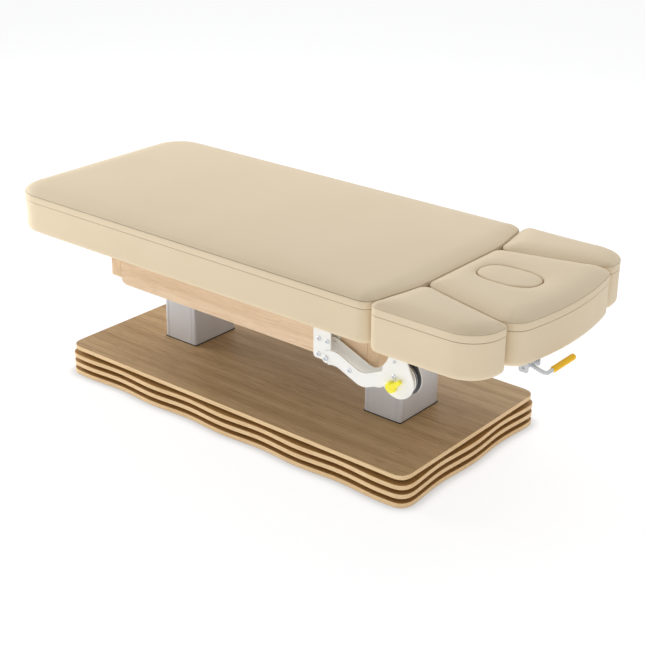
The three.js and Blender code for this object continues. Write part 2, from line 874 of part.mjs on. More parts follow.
// The crank under the hinge, driven by the gas spring
function crank() {
  const tipX = springX;
  const tipZ = springZ;
  const direction = new THREE.Vector2(tipX - hingeX, tipZ - hingeZ).normalize();
  const sideways = new THREE.Vector2(-direction.y, direction.x).multiplyScalar(crankHalf);
  const past = direction.clone().multiplyScalar(crankHalf);
  const corners = [
    [hingeX - sideways.x, hingeZ - sideways.y, 0],
    [hingeX + sideways.x, hingeZ + sideways.y, 0],
    [tipX + past.x + sideways.x, tipZ + past.y + sideways.y, crankHalf],
    [tipX + past.x - sideways.x, tipZ + past.y - sideways.y, crankHalf],
  ];
  const inner = headBarY - headBarWidth / 2;
  const plate = upright(cornered(corners.reverse()), inner - crankPlate, inner + overrun);
  const pin = rodAcross(crankPinRadius, inner - crankPlate - crankPinReach, inner, tipX, tipZ, smallFacets);
  return joined(plate, pin);
}

function addHeadFrame() {
  const half = headBarWidth / 2;
  const bottom = deckSeat - headBarHeight;
  const farX = hingeX + headBarLength;
  const pieces = [];
  for (const side of [-1, 1]) {
    const y = side * headBarY;
    pieces.push(block(hingeX, farX, y - half, y + half, bottom, deckSeat));
    pieces.push(rodAcross(hingeEyeRadius, y - half, y + half, hingeX, hingeZ));
  }
  const tieX = farX - headTieInset;
  pieces.push(block(tieX - headBarWidth, tieX, -headBarY, headBarY, bottom, deckSeat));
  pieces.push(crank());
  const bore = rodAcross(hingeRadius + runningFit, -hingeHalf, hingeHalf, hingeX, hingeZ);
  const tipX = hingeX - hingeEyeRadius - overrun;
  const top = block(tipX, hingeX, -hingeHalf, hingeHalf, deckSeat, deckSeat + hingeEyeRadius);
  addPiece("head_frame", cut(joined(...pieces), bore, top), "whitePaint");
}

// Lockable gas spring along the bed, under the head bearer
function addGasSpring() {
  const nose = springX - springNose;
  const tail = nose - springLength;
  const body = rodAlong(springRadius, tail, nose, springY, springZ);
  const boreRadius = rodRadius + runningFit;
  const bore = rodAlong(boreRadius, tail + springFloor, nose + overrun, springY, springZ, smallFacets);
  addPiece("gas_spring_body", cut(body, bore), "darkPlastic");
  const rodTail = tail + springFloor + rodStroke;
  const rod = rodAlong(rodRadius, rodTail, springX - rodEyeHalf, springY, springZ, smallFacets);
  const slotTop = crankPinRadius + rodSlotRise;
  const eyeHalfZ = slotTop + rodEyeWidth;
  const corners = [
    [springX - rodEyeHalf - rodEyeWidth, springZ - eyeHalfZ, rodEyeWidth],
    [springX + rodEyeHalf, springZ - eyeHalfZ, rodEyeWidth],
    [springX + rodEyeHalf, springZ + eyeHalfZ, rodEyeWidth],
    [springX - rodEyeHalf - rodEyeWidth, springZ + eyeHalfZ, rodEyeWidth],
  ];
  const eye = upright(cornered(corners), springY - rodEyeWidth / 2, springY + rodEyeWidth / 2);
  const slotHalfX = crankPinRadius + runningFit;
  const slot = block(
    springX - slotHalfX,
    springX + slotHalfX,
    springY - rodEyeWidth,
    springY + rodEyeWidth,
    springZ - slotTop,
    springZ + slotTop,
  );
  addPiece("gas_spring_rod", cut(joined(rod, eye), slot), "plainSteel");
}

// Release lever below the front edge of the head cushion

function leverPath() {
  const elbow = new THREE.Vector3(leverReachX, -leverY, leverZ - leverDrop);
  const start = new THREE.Vector3(leverX, -leverY, leverZ);
  const end = new THREE.Vector3(leverReachX, -leverEndY, leverZ - leverDrop);
  const before = start.clone().sub(elbow).setLength(leverBend).add(elbow);
  const after = end.clone().sub(elbow).setLength(leverBend).add(elbow);
  const path = new THREE.CurvePath();
  path.add(new THREE.LineCurve3(start, before));
  path.add(new THREE.QuadraticBezierCurve3(before, elbow, after));
  path.add(new THREE.LineCurve3(after, end));
  return path;
}

function addLever() {
  const circle = new THREE.Shape();
  circle.absarc(0, 0, leverRodRadius, 0, Math.PI * 2, false);
  const options = { steps: roundFacets, extrudePath: leverPath(), curveSegments: cornerSteps };
  const rod = new THREE.ExtrudeGeometry(circle, options);
  const half = leverEarGap / 2 - seat;
  const tube = rodAcross(leverTubeRadius, -leverY - half, -leverY + half, leverX, leverZ);
  addPiece("release_lever", joined(tube, rod), "plainSteel");
  addGrip();
  addLeverBracket();
}

function addGrip() {
  const length = gripStartY - gripEndY;
  const boreRadius = leverRodRadius + seat;
  const boreDepth = gripStartY - leverEndY + seat;
  const profile = [
    [0, boreDepth],
    [boreRadius, boreDepth],
    [boreRadius, 0],
    [gripRadius - gripEdge, 0],
    [gripRadius, gripEdge],
    [gripRadius, length - gripEdge],
    [gripRadius - gripEdge, length],
    [0, length],
  ];
  const points = profile.map(([radius, along]) => new THREE.Vector2(radius, along));
  const grip = new THREE.LatheGeometry(points, smallFacets);
  grip.translate(leverReachX, -gripStartY, leverZ - leverDrop);
  addPiece("lever_grip", grip, "amberPlastic");
}

function addLeverBracket() {
  const half = leverEarGap / 2;
  const outer = half + leverEarThick;
  const bridge = block(
    leverX - leverEarHalf,
    leverX + leverEarHalf,
    -leverY - outer,
    -leverY + outer,
    deckSeat - leverEarThick,
    deckSeat,
  );
  const corners = [
    [leverX - leverEarHalf, leverZ - leverEarDrop, leverEarHalf / 2],
    [leverX + leverEarHalf, leverZ - leverEarDrop, leverEarHalf / 2],
    [leverX + leverEarHalf, deckSeat, 0],
    [leverX - leverEarHalf, deckSeat, 0],
  ];
  const ears = [-leverY - outer, -leverY + half].map((y) => upright(cornered(corners), y, y + leverEarThick));
  const reach = outer + overrun;
  const hole = rodAcross(leverEarThick, -leverY - reach, -leverY + reach, leverX, leverZ);
  addPiece("lever_bracket", cut(joined(bridge, ...ears), hole), "whitePaint");
}

// Armrest linkage, drawn for the left side and mirrored for the right

function armPlan() {
  const slope = (padHeadX - padHeadCornerX) / (padHalfWidth - padSlantY);
  const rear = (y) => padHeadCornerX + (padHalfWidth - y) * slope + padGap;
  const edge = (x) => -splitY(x) - splitGap / 2;
  const innerX = padHeadX + padGap + padGap;
  return cornered([
    [rear(armOuterY), -armOuterY, armRearRadius],
    [armFrontX, -armOuterY, armFrontSweep],
    [armTipX, edge(armTipX), armTipRadius],
    [innerX, edge(innerX), armInnerRadius],
  ]);
}

// Box bracket on the rail: front plate, side web and back plate
function armMount() {
  const right = mountX + mountLength;
  const top = mountBottom + mountHeight;
  const corners = [
    [mountX, mountBottom, mountRadius],
    [right, mountBottom, mountRadius],
    [right, top, 0],
    [mountX, top, 0],
  ];
  const backY = -railFaceY - seat;
  const front = upright(cornered(corners), -mountFaceY, -mountFaceY + mountPlate);
  const back = upright(cornered(corners), backY - mountPlate, backY);
  const webBottom = mountBottom + mountRadius;
  const webY = [-mountFaceY + mountPlate / 2, backY - mountPlate / 2];
  const web = block(mountX, mountX + mountPlate, ...webY, webBottom, top);
  const upperEnd = -linkRearY - linkPlate - pinProud;
  const lowerEnd = -linkFrontY - linkPlate - pinProud;
  const upperStud = rodAcross(pinRadius, upperEnd, backY - mountPlate / 2, linkAX, linkAZ + linkRise);
  const lowerStud = rodAcross(pinRadius, lowerEnd, -mountFaceY + mountPlate / 2, linkAX, linkAZ);
  return joined(front, back, web, upperStud, lowerStud);
}

// Band of constant width along three legs, as one outline
function bandOutline(spine, half) {
  const points = spine.map(([x, z]) => new THREE.Vector2(x, z));
  const offset = (side) => points.map((point, i) => {
    const before = points[Math.max(i - 1, 0)];
    const after = points[Math.min(i + 1, points.length - 1)];
    const arrive = i > 0 ? point.clone().sub(before).normalize() : after.clone().sub(point).normalize();
    const leave = i < points.length - 1 ? after.clone().sub(point).normalize() : arrive;
    const tangent = arrive.clone().add(leave).normalize();
    const reach = (side * half) / tangent.dot(leave);
    const bend = i > 0 && i < points.length - 1 ? linkBend : 0;
    return [point.x - tangent.y * reach, point.y + tangent.x * reach, bend];
  });
  return cornered([...offset(-1), ...offset(1).reverse()]);
}

function lowerSpine() {
  return [[linkAX, linkAZ], [linkShoulderX, linkShoulderZ], [linkDipX, linkDipZ], [linkBX, linkBZ]];
}

function arcSlot(y0, y1) {
  const radius = Math.hypot(knobX - linkBX, knobZ - linkBZ);
  const start = Math.atan2(knobZ - linkBZ, knobX - linkBX);
  const shape = new THREE.Shape();
  const from = start - slotLead / radius;
  const to = start + slotTravel / radius;
  shape.absarc(linkBX, linkBZ, radius + slotHalf, from, to, false);
  shape.absarc(linkBX, linkBZ, radius - slotHalf, to, from, true);
  const ends = [from, to].map((angle) => {
    const x = linkBX + radius * Math.cos(angle);
    const z = linkBZ + radius * Math.sin(angle);
    return rodAcross(slotHalf, y0, y1, x, z, smallFacets);
  });
  return joined(upright(shape, y0, y1), ...ends);
}

function lowerLink() {
  const y0 = -linkFrontY - linkPlate;
  const y1 = -linkFrontY;
  const band = upright(bandOutline(lowerSpine(), linkHalf), y0, y1);
  const boss = rodAcross(linkBossRadius, y0, y1, linkAX, linkAZ);
  const plate = rodAcross(linkPlateRadius, y0, y1, linkBX, linkBZ, wideFacets);
  const boreA = rodAcross(pinRadius + seat, y0 - overrun, y1 + overrun, linkAX, linkAZ);
  const boreB = rodAcross(pinRadius + seat, y0 - overrun, y1 + overrun, linkBX, linkBZ);
  return cut(joined(band, boss, plate), boreA, boreB, arcSlot(y0 - overrun, y1 + overrun));
}

function upperLink() {
  const y0 = -linkRearY - linkPlate;
  const y1 = -linkRearY;
  const endZ = linkAZ + linkRise - upperEndDrop;
  const tipZ = linkBZ + linkRise - upperTipDrop;
  const spine = [
    [linkAX, endZ],
    [upperDipX, deckSeat - upperDipDrop],
    [linkBX, tipZ],
  ];
  const band = upright(bandOutline(spine, upperHalf), y0, y1);
  const bossA = rodAcross(upperHalf, y0, y1, linkAX, endZ);
  const bossB = rodAcross(upperHalf, y0, y1, linkBX, tipZ);
  const boreA = rodAcross(pinRadius + seat, y0 - overrun, y1 + overrun, linkAX, linkAZ + linkRise);
  const boreB = rodAcross(pinRadius + runningFit, y0 - overrun, y1 + overrun, linkBX, linkBZ + linkRise);
  return cut(joined(band, bossA, bossB), boreA, boreB);
}

// Two discs under the armrest board, tapering up to a top flange
function armFork() {
  const shoulderZ = forkZ + forkShoulder;
  const taper = cornered([
    [forkX - forkHalf, shoulderZ, 0],
    [forkX + forkHalf, shoulderZ, 0],
    [forkX + forkTopHalf, deckSeat, 0],
    [forkX - forkTopHalf, deckSeat, 0],
  ]);
  const frontY = -forkFrontY - forkPlate;
  const rearY = -forkRearY - forkPlate;
  const discs = [frontY, rearY].flatMap((y) => {
    const disc = rodAcross(forkRadius, y, y + forkPlate, forkX, forkZ, wideFacets);
    return [disc, upright(taper, y, y + forkPlate)];
  });
  const flangeZ = [deckSeat - forkTopThick, deckSeat];
  const flange = block(forkX - forkTopHalf, forkX + forkTopHalf, frontY, rearY + forkPlate, ...flangeZ);
  const upperStart = rearY + forkPlate / 2;
  const lowerStart = frontY + forkPlate / 2;
  const upperStud = rodAcross(pinRadius, upperStart, -linkRearY + pinProud, linkBX, linkBZ + linkRise);
  const lowerStud = rodAcross(pinRadius, lowerStart, -linkFrontY + pinProud, linkBX, linkBZ);
  const boreEnd = frontY + forkPlate + overrun;
  const knobBore = rodAcross(studRadius + seat, frontY - overrun, boreEnd, knobX, knobZ, smallFacets);
  return cut(joined(...discs, flange, upperStud, lowerStud), knobBore);
}

function clampKnob() {
  const face = -forkFrontY - forkPlate - seat;
  const outer = face - knobDepth;
  const profile = [
    [0, 0],
    [knobRadius, 0],
    [knobRadius, knobDepth - knobEdge],
    [knobRadius - knobEdge, knobDepth],
    [0, knobDepth],
  ];
  const points = profile.map(([radius, along]) => new THREE.Vector2(radius, along));
  const hub = new THREE.LatheGeometry(points, roundFacets).rotateX(Math.PI).translate(knobX, face, knobZ);
  const wing = upright(bandOutline([[knobX, knobZ], [wingX, wingZ]], wingHalf), outer, outer + wingThick);
  const tip = rodAcross(wingHalf, outer, outer + wingThick, wingX, wingZ, smallFacets);
  const stud = rodAcross(studRadius, face - knobEdge, face + studTail, knobX, knobZ, smallFacets);
  return joined(hub, wing, tip, stud);
}

function addArm(side) {
  const place = (geometry) => (side === "left" ? geometry : mirrored(geometry));
  const add = (name, geometry, finish) => addPiece(`${name}_${side}`, place(geometry), finish);
  add("arm_mount", armMount(), "whitePaint");
  add("arm_lower_link", lowerLink(), "whitePaint");
  add("arm_upper_link", upperLink(), "whitePaint");
  add("arm_fork", armFork(), "whitePaint");
  add("arm_clamp_knob", clampKnob(), "yellowPlastic");
  add("arm_board", cushionBoard(armPlan()), "plywood");
  add("arm_cushion", cushion(armPlan()), "leatherette");
}

addBase();
addFeet();
addColumn("foot", -columnX);
addColumn("head", columnX);
for (const side of ["left", "right"]) addRail(side);
addBeam("apron_beam_foot", -railFootX - seat - beamThickness, columnAcross / 2 + beamNotchFit);
addBeam("apron_beam_head", railHeadX + seat, springY + springRadius + beamNotchFit);
addBearers();
addControls();
addMainCushion();
addHeadPads();
addHinge();
addHeadFrame();
addGasSpring();
addLever();
for (const side of ["left", "right"]) addArm(side);

export default bed;
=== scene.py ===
# %% [markdown]
# # An electric spa bed
# The bed is a base of four oak boards, two telescopic lift columns, an oak
# apron, and a soft top of four cushions. The imported model gives every piece its
# place, and this lesson gives every piece its look. We load it first. The
# finished picture must not grow beyond it.

import json
import math

import bmesh
import bpy
from mathutils import Matrix, Vector, geometry


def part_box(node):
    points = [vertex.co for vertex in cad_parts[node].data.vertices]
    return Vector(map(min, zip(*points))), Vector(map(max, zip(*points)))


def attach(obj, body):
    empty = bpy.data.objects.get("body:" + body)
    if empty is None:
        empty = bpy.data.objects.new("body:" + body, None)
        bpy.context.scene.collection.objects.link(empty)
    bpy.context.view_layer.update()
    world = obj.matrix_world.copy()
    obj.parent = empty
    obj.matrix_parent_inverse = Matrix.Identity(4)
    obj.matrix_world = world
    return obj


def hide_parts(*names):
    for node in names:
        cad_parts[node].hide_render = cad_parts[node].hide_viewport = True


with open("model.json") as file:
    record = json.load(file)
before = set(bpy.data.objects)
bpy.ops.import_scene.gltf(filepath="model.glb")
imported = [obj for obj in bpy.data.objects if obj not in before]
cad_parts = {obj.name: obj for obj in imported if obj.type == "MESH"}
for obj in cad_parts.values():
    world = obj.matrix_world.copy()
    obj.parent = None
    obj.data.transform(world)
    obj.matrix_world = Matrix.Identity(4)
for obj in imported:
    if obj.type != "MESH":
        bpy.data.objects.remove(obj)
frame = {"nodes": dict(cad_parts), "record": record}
bpy.context.view_layer.update()
scene = bpy.context.scene
scene.view_settings.view_transform = "Standard"

# %% [markdown]
# ## The camera
# A product photograph is taken from a little above the top, with a long lens so
# that the edges stay nearly parallel. We could aim a camera with a constraint,
# but three plain axes (right, up and back) are easier to read and to check.

# %% Camera
AZIMUTH, ELEVATION, ROLL = (math.radians(a) for a in (39.30, 23.87, 0.46))
LENS_PLACE = (2.6218, -3.1366, 2.0943)


def level_axes():
    back = Vector((math.sin(AZIMUTH), -math.cos(AZIMUTH), 0)) * math.cos(ELEVATION)
    back.z = math.sin(ELEVATION)
    right = Vector((math.cos(AZIMUTH), math.sin(AZIMUTH), 0))
    return right, back.cross(right), back


right, up, back = level_axes()
right, up = right * math.cos(ROLL) + up * math.sin(ROLL), up * math.cos(ROLL) - right * math.sin(ROLL)
lens = bpy.data.cameras.new("portrait_lens")
lens.sensor_width, lens.lens = 36, 76.32
lens.clip_start, lens.clip_end = 0.1, 60
camera = bpy.data.objects.new("portrait_camera", lens)
scene.collection.objects.link(camera)
axes = Matrix((right, up, back)).transposed().to_4x4()
camera.matrix_world = Matrix.Translation(LENS_PLACE) @ axes
scene.camera = camera
print("camera at", [round(x, 3) for x in camera.location])

# %% [markdown]
# ## Studio light
# The bed stands in a white tent. A dome gives the even tone, a large panel
# above and behind lights the tops, two weak ones in front fill the sides and
# the linkage, and a panel at the foot end makes that corner the brightest.
# Slopes that face the camera then fall a little darker than the tops, which
# draws the soft edges of the cushions. What the camera sees behind the bed is
# set apart from that light, so white stays white.

# %% World and soft panels


def node_tree(owner):
    owner.use_nodes = True
    owner.node_tree.nodes.clear()
    return owner.node_tree


def math_node(tree, operation, first, second):
    node = tree.nodes.new("ShaderNodeMath")
    node.operation = operation
    for slot, value in enumerate((first, second)):
        if isinstance(value, (int, float)):
            node.inputs[slot].default_value = value
        else:
            tree.links.new(value, node.inputs[slot])
    return node.outputs[0]


def seen_directly(tree):
    """1 where a ray comes straight from the camera, a mirror or through glass."""
    rays = tree.nodes.new("ShaderNodeLightPath").outputs
    mirrored = math_node(tree, "MAXIMUM", rays["Is Camera Ray"], rays["Is Glossy Ray"])
    return math_node(tree, "MAXIMUM", mirrored, rays["Is Transmission Ray"])


DOME = 0.48
world = bpy.data.worlds.new("tent")
scene.world = world
tree = node_tree(world)
dome = tree.nodes.new("ShaderNodeBackground")
dome.inputs["Strength"].default_value = DOME
backdrop = tree.nodes.new("ShaderNodeBackground")
backdrop.inputs["Strength"].default_value = 1.0
for shade in (dome, backdrop):
    shade.inputs["Color"].default_value = (1, 1, 1, 1)
mixer = tree.nodes.new("ShaderNodeMixShader")
tree.links.new(seen_directly(tree), mixer.inputs[0])
tree.links.new(dome.outputs[0], mixer.inputs[1])
tree.links.new(backdrop.outputs[0], mixer.inputs[2])
output = tree.nodes.new("ShaderNodeOutputWorld")
tree.links.new(mixer.outputs[0], output.inputs["Surface"])


def soft_panel(name, place, target, size, power):
    data = bpy.data.lights.new(name, "AREA")
    data.shape = "RECTANGLE"
    data.size, data.size_y = size
    data.energy = power
    lamp = bpy.data.objects.new(name, data)
    scene.collection.objects.link(lamp)
    aim = Vector(target) - Vector(place)
    lamp.matrix_world = Matrix.Translation(place) @ aim.to_track_quat("-Z", "Y").to_matrix().to_4x4()


soft_panel("foot_panel", (-4.3, -0.9, 1.5), (-0.6, 0, 0.5), (2.2, 2.0), 120)
soft_panel("front_panel", (-0.6, -4.6, 1.0), (0, 0, 0.3), (4.0, 1.4), 8)
soft_panel("low_panel", (1.5, -1.5, 0.40), (0.5, -0.3, 0.2), (1.0, 0.4), 1.2)
soft_panel("top_back_panel", (-0.3, 2.6, 3.4), (0, 0, 0.4), (4.5, 3.0), 67)
print("dome", DOME, "with four panels")

# %% [markdown]
# ## The floor
# The floor is one pale sheet that keeps the soft shadow under the base. To the
# camera it has a glow of its own, so that it meets the white backdrop without
# a line. To every other ray it is matt paint with a weaker glow, like a lit
# sweep, and throws light back up under the cushions. Both glows fade close to
# the base, which draws the thin shadow where it stands.

# %% Floor
FLOOR_HALF = 24
SHADOW_REACH, SHADOW_GLOW = 0.045, 0.1
floor_bm = bmesh.new()
bmesh.ops.create_grid(floor_bm, x_segments=1, y_segments=1, size=FLOOR_HALF)
floor_mesh = bpy.data.meshes.new("studio_floor")
floor_bm.to_mesh(floor_mesh)
floor_bm.free()
floor = bpy.data.objects.new("studio_floor", floor_mesh)
scene.collection.objects.link(floor)
paint = bpy.data.materials.new("floor_paint")
tree = node_tree(paint)


def lit_sheet(tree, paint_tone, glow_strength):
    """Matt paint with a glow of its own; returns the shader socket."""
    matt = tree.nodes.new("ShaderNodeBsdfDiffuse")
    matt.inputs["Color"].default_value = paint_tone
    glow = tree.nodes.new("ShaderNodeEmission")
    near = tree.nodes.new("ShaderNodeAmbientOcclusion")
    near.inputs["Distance"].default_value = SHADOW_REACH
    dimmed = tree.nodes.new("ShaderNodeMapRange")
    dimmed.inputs["To Min"].default_value = glow_strength * SHADOW_GLOW
    dimmed.inputs["To Max"].default_value = glow_strength
    tree.links.new(near.outputs["AO"], dimmed.inputs["Value"])
    tree.links.new(dimmed.outputs["Result"], glow.inputs["Strength"])
    both = tree.nodes.new("ShaderNodeAddShader")
    tree.links.new(matt.outputs[0], both.inputs[0])
    tree.links.new(glow.outputs[0], both.inputs[1])
    return both.outputs[0]


choose = tree.nodes.new("ShaderNodeMixShader")
tree.links.new(seen_directly(tree), choose.inputs[0])
tree.links.new(lit_sheet(tree, (0.85, 0.85, 0.85, 1), 0.57), choose.inputs[1])
tree.links.new(lit_sheet(tree, (0.26, 0.263, 0.27, 1), 0.83), choose.inputs[2])
output = tree.nodes.new("ShaderNodeOutputMaterial")
tree.links.new(choose.outputs[0], output.inputs["Surface"])
floor_mesh.materials.append(paint)
print("floor ready")

# %% [markdown]
# ## Shared shader effects
# Several finishes share an effect: a pebbled grain, the streaks of oak, and
# faint handling marks. Each effect is a node group, built once, so that every
# material can use it with its own values. A group gives out only masks and
# heights; the shader itself stays in the material.

# %% Group maker


def new_group(name, numbers, results):
    """A shader group with a Vector, some named numbers, and named results."""
    group = bpy.data.node_groups.new(name, "ShaderNodeTree")
    group.interface.new_socket("Vector", in_out="INPUT", socket_type="NodeSocketVector")
    for label, value in numbers.items():
        socket = group.interface.new_socket(label, in_out="INPUT", socket_type="NodeSocketFloat")
        socket.default_value = value
    for label in results:
        group.interface.new_socket(label, in_out="OUTPUT", socket_type="NodeSocketFloat")
    start = group.nodes.new("NodeGroupInput")
    end = group.nodes.new("NodeGroupOutput")
    return group, start, end


def blended(tree, first, share, second):
    """Two masks in one: the first by its share and the second by the rest."""
    main = math_node(tree, "MULTIPLY", first, share)
    rest = math_node(tree, "MULTIPLY", second, 1 - share)
    return math_node(tree, "ADD", main, rest)


def noise_at(tree, vector, scale, detail=2.0, rough=0.5):
    node = tree.nodes.new("ShaderNodeTexNoise")
    node.inputs["Detail"].default_value = detail
    node.inputs["Roughness"].default_value = rough
    tree.links.new(vector, node.inputs["Vector"])
    if isinstance(scale, (int, float)):
        node.inputs["Scale"].default_value = scale
    else:
        tree.links.new(scale, node.inputs["Scale"])
    return node.outputs["Fac"]


def stretched(tree, vector, amounts):
    node = tree.nodes.new("ShaderNodeVectorMath")
    node.operation = "MULTIPLY"
    tree.links.new(vector, node.inputs[0])
    node.inputs[1].default_value = amounts
    return node.outputs[0]


def span(tree, value, low, high, out_low=0.0, out_high=1.0):
    node = tree.nodes.new("ShaderNodeMapRange")
    node.inputs["From Min"].default_value = low
    node.inputs["From Max"].default_value = high
    node.inputs["To Min"].default_value = out_low
    node.inputs["To Max"].default_value = out_high
    tree.links.new(value, node.inputs["Value"])
    return node.outputs["Result"]


# %% [markdown]
# Coated upholstery fabric has a fine pebble, little more than a millimetre
# across, pressed into its skin. A cell texture gives the pebbles and a small
# noise breaks them up. Slow noise stands for the way the cover tightens here
# and slackens there over the foam.

# %% Pebble grain group
pebble_group, start, end = new_group("pebble_grain", {"Cells": 760.0}, ["Height", "Swell", "Tone"])
cells = pebble_group.nodes.new("ShaderNodeTexVoronoi")
cells.feature = "SMOOTH_F1"
pebble_group.links.new(start.outputs["Vector"], cells.inputs["Vector"])
pebble_group.links.new(start.outputs["Cells"], cells.inputs["Scale"])
crumbs = noise_at(pebble_group, start.outputs["Vector"], 1900, 1.0)
low_crumbs = math_node(pebble_group, "MULTIPLY", crumbs, 0.5)
height = math_node(pebble_group, "ADD", cells.outputs["Distance"], low_crumbs)
swell = noise_at(pebble_group, start.outputs["Vector"], 7.0, 2.0)
patch = noise_at(pebble_group, start.outputs["Vector"], 2.6, 3.0)
speck = noise_at(pebble_group, start.outputs["Vector"], 240, 2.0)
tone = blended(pebble_group, patch, 0.7, speck)
pebble_group.links.new(height, end.inputs["Height"])
pebble_group.links.new(swell, end.inputs["Swell"])
pebble_group.links.new(tone, end.inputs["Tone"])

# %% [markdown]
# Oak veneer shows long streaks with the grain, finer fibres inside them, and
# short dark pores. All three are the same noise, stretched by different
# amounts along X. A piece whose grain runs across the bed turns the pattern
# with a Mapping node first.

# %% Oak figure group
oak_group, start, end = new_group("oak_figure", {"Streaks": 1.0}, ["Tone", "Pores", "Height"])
along = start.outputs["Vector"]
wander = noise_at(oak_group, stretched(oak_group, along, (1.6, 6.0, 6.0)), 1.0, 3.0)
shift = oak_group.nodes.new("ShaderNodeVectorMath")
shift.operation = "MULTIPLY_ADD"
shift.inputs[1].default_value = (0.0, 0.05, 0.05)
combine = oak_group.nodes.new("ShaderNodeCombineXYZ")
for axis in ("X", "Y", "Z"):
    oak_group.links.new(wander, combine.inputs[axis])
oak_group.links.new(combine.outputs[0], shift.inputs[0])
oak_group.links.new(along, shift.inputs[2])
bent = shift.outputs[0]
broad = noise_at(oak_group, stretched(oak_group, bent, (0.8, 24, 24)), start.outputs["Streaks"], 3.0, 0.6)
fibre = noise_at(oak_group, stretched(oak_group, bent, (5, 260, 260)), start.outputs["Streaks"], 3.0, 0.6)
pore = noise_at(oak_group, stretched(oak_group, bent, (12, 560, 560)), start.outputs["Streaks"], 1.0)
streaks = blended(oak_group, broad, 0.55, fibre)
pores = span(oak_group, pore, 0.60, 0.70)
depth = math_node(oak_group, "SUBTRACT", math_node(oak_group, "MULTIPLY", fibre, 0.6), pores)
oak_group.links.new(streaks, end.inputs["Tone"])
oak_group.links.new(pores, end.inputs["Pores"])
oak_group.links.new(depth, end.inputs["Height"])

# %% [markdown]
# Painted, drawn and moulded surfaces look plain from afar, but they never
# shine quite evenly. One group gives them soft smudges, which change the
# roughness and, very slightly, the tone.

# %% Handling marks group
marks_group, start, end = new_group("handling_marks", {"Size": 1.0}, ["Smudge"])
scaled = marks_group.nodes.new("ShaderNodeVectorMath")
scaled.operation = "SCALE"
marks_group.links.new(start.outputs["Vector"], scaled.inputs[0])
marks_group.links.new(start.outputs["Size"], scaled.inputs["Scale"])
smudge = noise_at(marks_group, scaled.outputs[0], 11, 3.0, 0.6)
marks_group.links.new(smudge, end.inputs["Smudge"])
print("groups", [g.name for g in bpy.data.node_groups])

# %% [markdown]
# ## Finishes
# A material starts from one small recipe: a Principled shader, a ramp between
# two near colours that a mask drives, a roughness range, and a bump. The
# tones were set by comparing renders with a photograph of the bed.

# %% Material recipe


def srgb(r, g, b):
    """A colour given from 0 to 255, in the shader's own linear scale."""
    def one(c):
        c /= 255
        return c / 12.92 if c <= 0.04045 else ((c + 0.055) / 1.055) ** 2.4
    return one(r), one(g), one(b), 1.0


MIX_A, MIX_B, MIX_RESULT = 6, 7, 2


class Finish:
    """A new material with its Principled shader and Object coordinates."""

    def __init__(self, name, metallic=0.0, specular=0.5):
        self.material = bpy.data.materials.new(name)
        self.tree = node_tree(self.material)
        self.shader = self.tree.nodes.new("ShaderNodeBsdfPrincipled")
        self.shader.inputs["Metallic"].default_value = metallic
        self.shader.inputs["Specular IOR Level"].default_value = specular
        end = self.tree.nodes.new("ShaderNodeOutputMaterial")
        self.tree.links.new(self.shader.outputs[0], end.inputs["Surface"])
        self.place = self.tree.nodes.new("ShaderNodeTexCoord").outputs["Object"]

    def turned(self, angle):
        mapping = self.tree.nodes.new("ShaderNodeMapping")
        mapping.inputs["Rotation"].default_value = angle
        self.tree.links.new(self.place, mapping.inputs["Vector"])
        self.place = mapping.outputs[0]

    def effect(self, group, **numbers):
        node = self.tree.nodes.new("ShaderNodeGroup")
        node.node_tree = group
        self.tree.links.new(self.place, node.inputs["Vector"])
        for label, value in numbers.items():
            node.inputs[label].default_value = value
        return node.outputs

    def between(self, mask, first, second):
        mix = self.tree.nodes.new("ShaderNodeMix")
        mix.data_type = "RGBA"
        self.tree.links.new(mask, mix.inputs["Factor"])
        for socket, colour in ((mix.inputs[MIX_A], first), (mix.inputs[MIX_B], second)):
            if isinstance(colour, tuple):
                socket.default_value = colour
            else:
                self.tree.links.new(colour, socket)
        return mix.outputs[MIX_RESULT]

    def bump(self, height, strength, distance, under=None):
        node = self.tree.nodes.new("ShaderNodeBump")
        node.inputs["Strength"].default_value = strength
        node.inputs["Distance"].default_value = distance
        self.tree.links.new(height, node.inputs["Height"])
        if under is not None:
            self.tree.links.new(under, node.inputs["Normal"])
        return node.outputs[0]

    def feed(self, **links):
        for label, value in links.items():
            self.tree.links.new(value, self.shader.inputs[label.replace("_", " ")])
        return self.material


# %% [markdown]
# The cover is satin beige: soft highlights, slow patches of a slightly lighter
# tone, and darker down in a seam, where the dark is painted shade. The seam's
# depth is stored on the mesh as an attribute, because a sewn line belongs to the
# surface and must stay with it.

# %% Leatherette


def leatherette(name, light, deep):
    skin = Finish(name, specular=0.2)
    grain = skin.effect(pebble_group)
    cloth = skin.between(span(skin.tree, grain["Tone"], 0.3, 0.7), deep, light)
    seam = skin.tree.nodes.new("ShaderNodeAttribute")
    seam.attribute_name = "seam"
    # Painted shade: the seam attribute turns the cover dark brown down in each groove.
    colour = skin.between(seam.outputs["Fac"], cloth, srgb(84, 66, 44))
    swell = skin.bump(grain["Swell"], 0.25, 0.004)
    normal = skin.bump(grain["Height"], 0.22, 0.0004, swell)
    rough = span(skin.tree, grain["Tone"], 0.2, 0.8, 0.58, 0.50)
    skin.shader.inputs["Sheen Weight"].default_value = 0.06
    skin.shader.inputs["Sheen Roughness"].default_value = 0.5
    return skin.feed(Base_Color=colour, Roughness=rough, Normal=normal)


cover_skin = leatherette("leatherette_cover", srgb(230, 212, 182), srgb(225, 207, 176))

# %% [markdown]
# Light oak on the apron, stained oak on the base, and a paler lipping along
# the edges of the boards. They differ in colour and in how strongly the
# streaks show.

# %% Oak


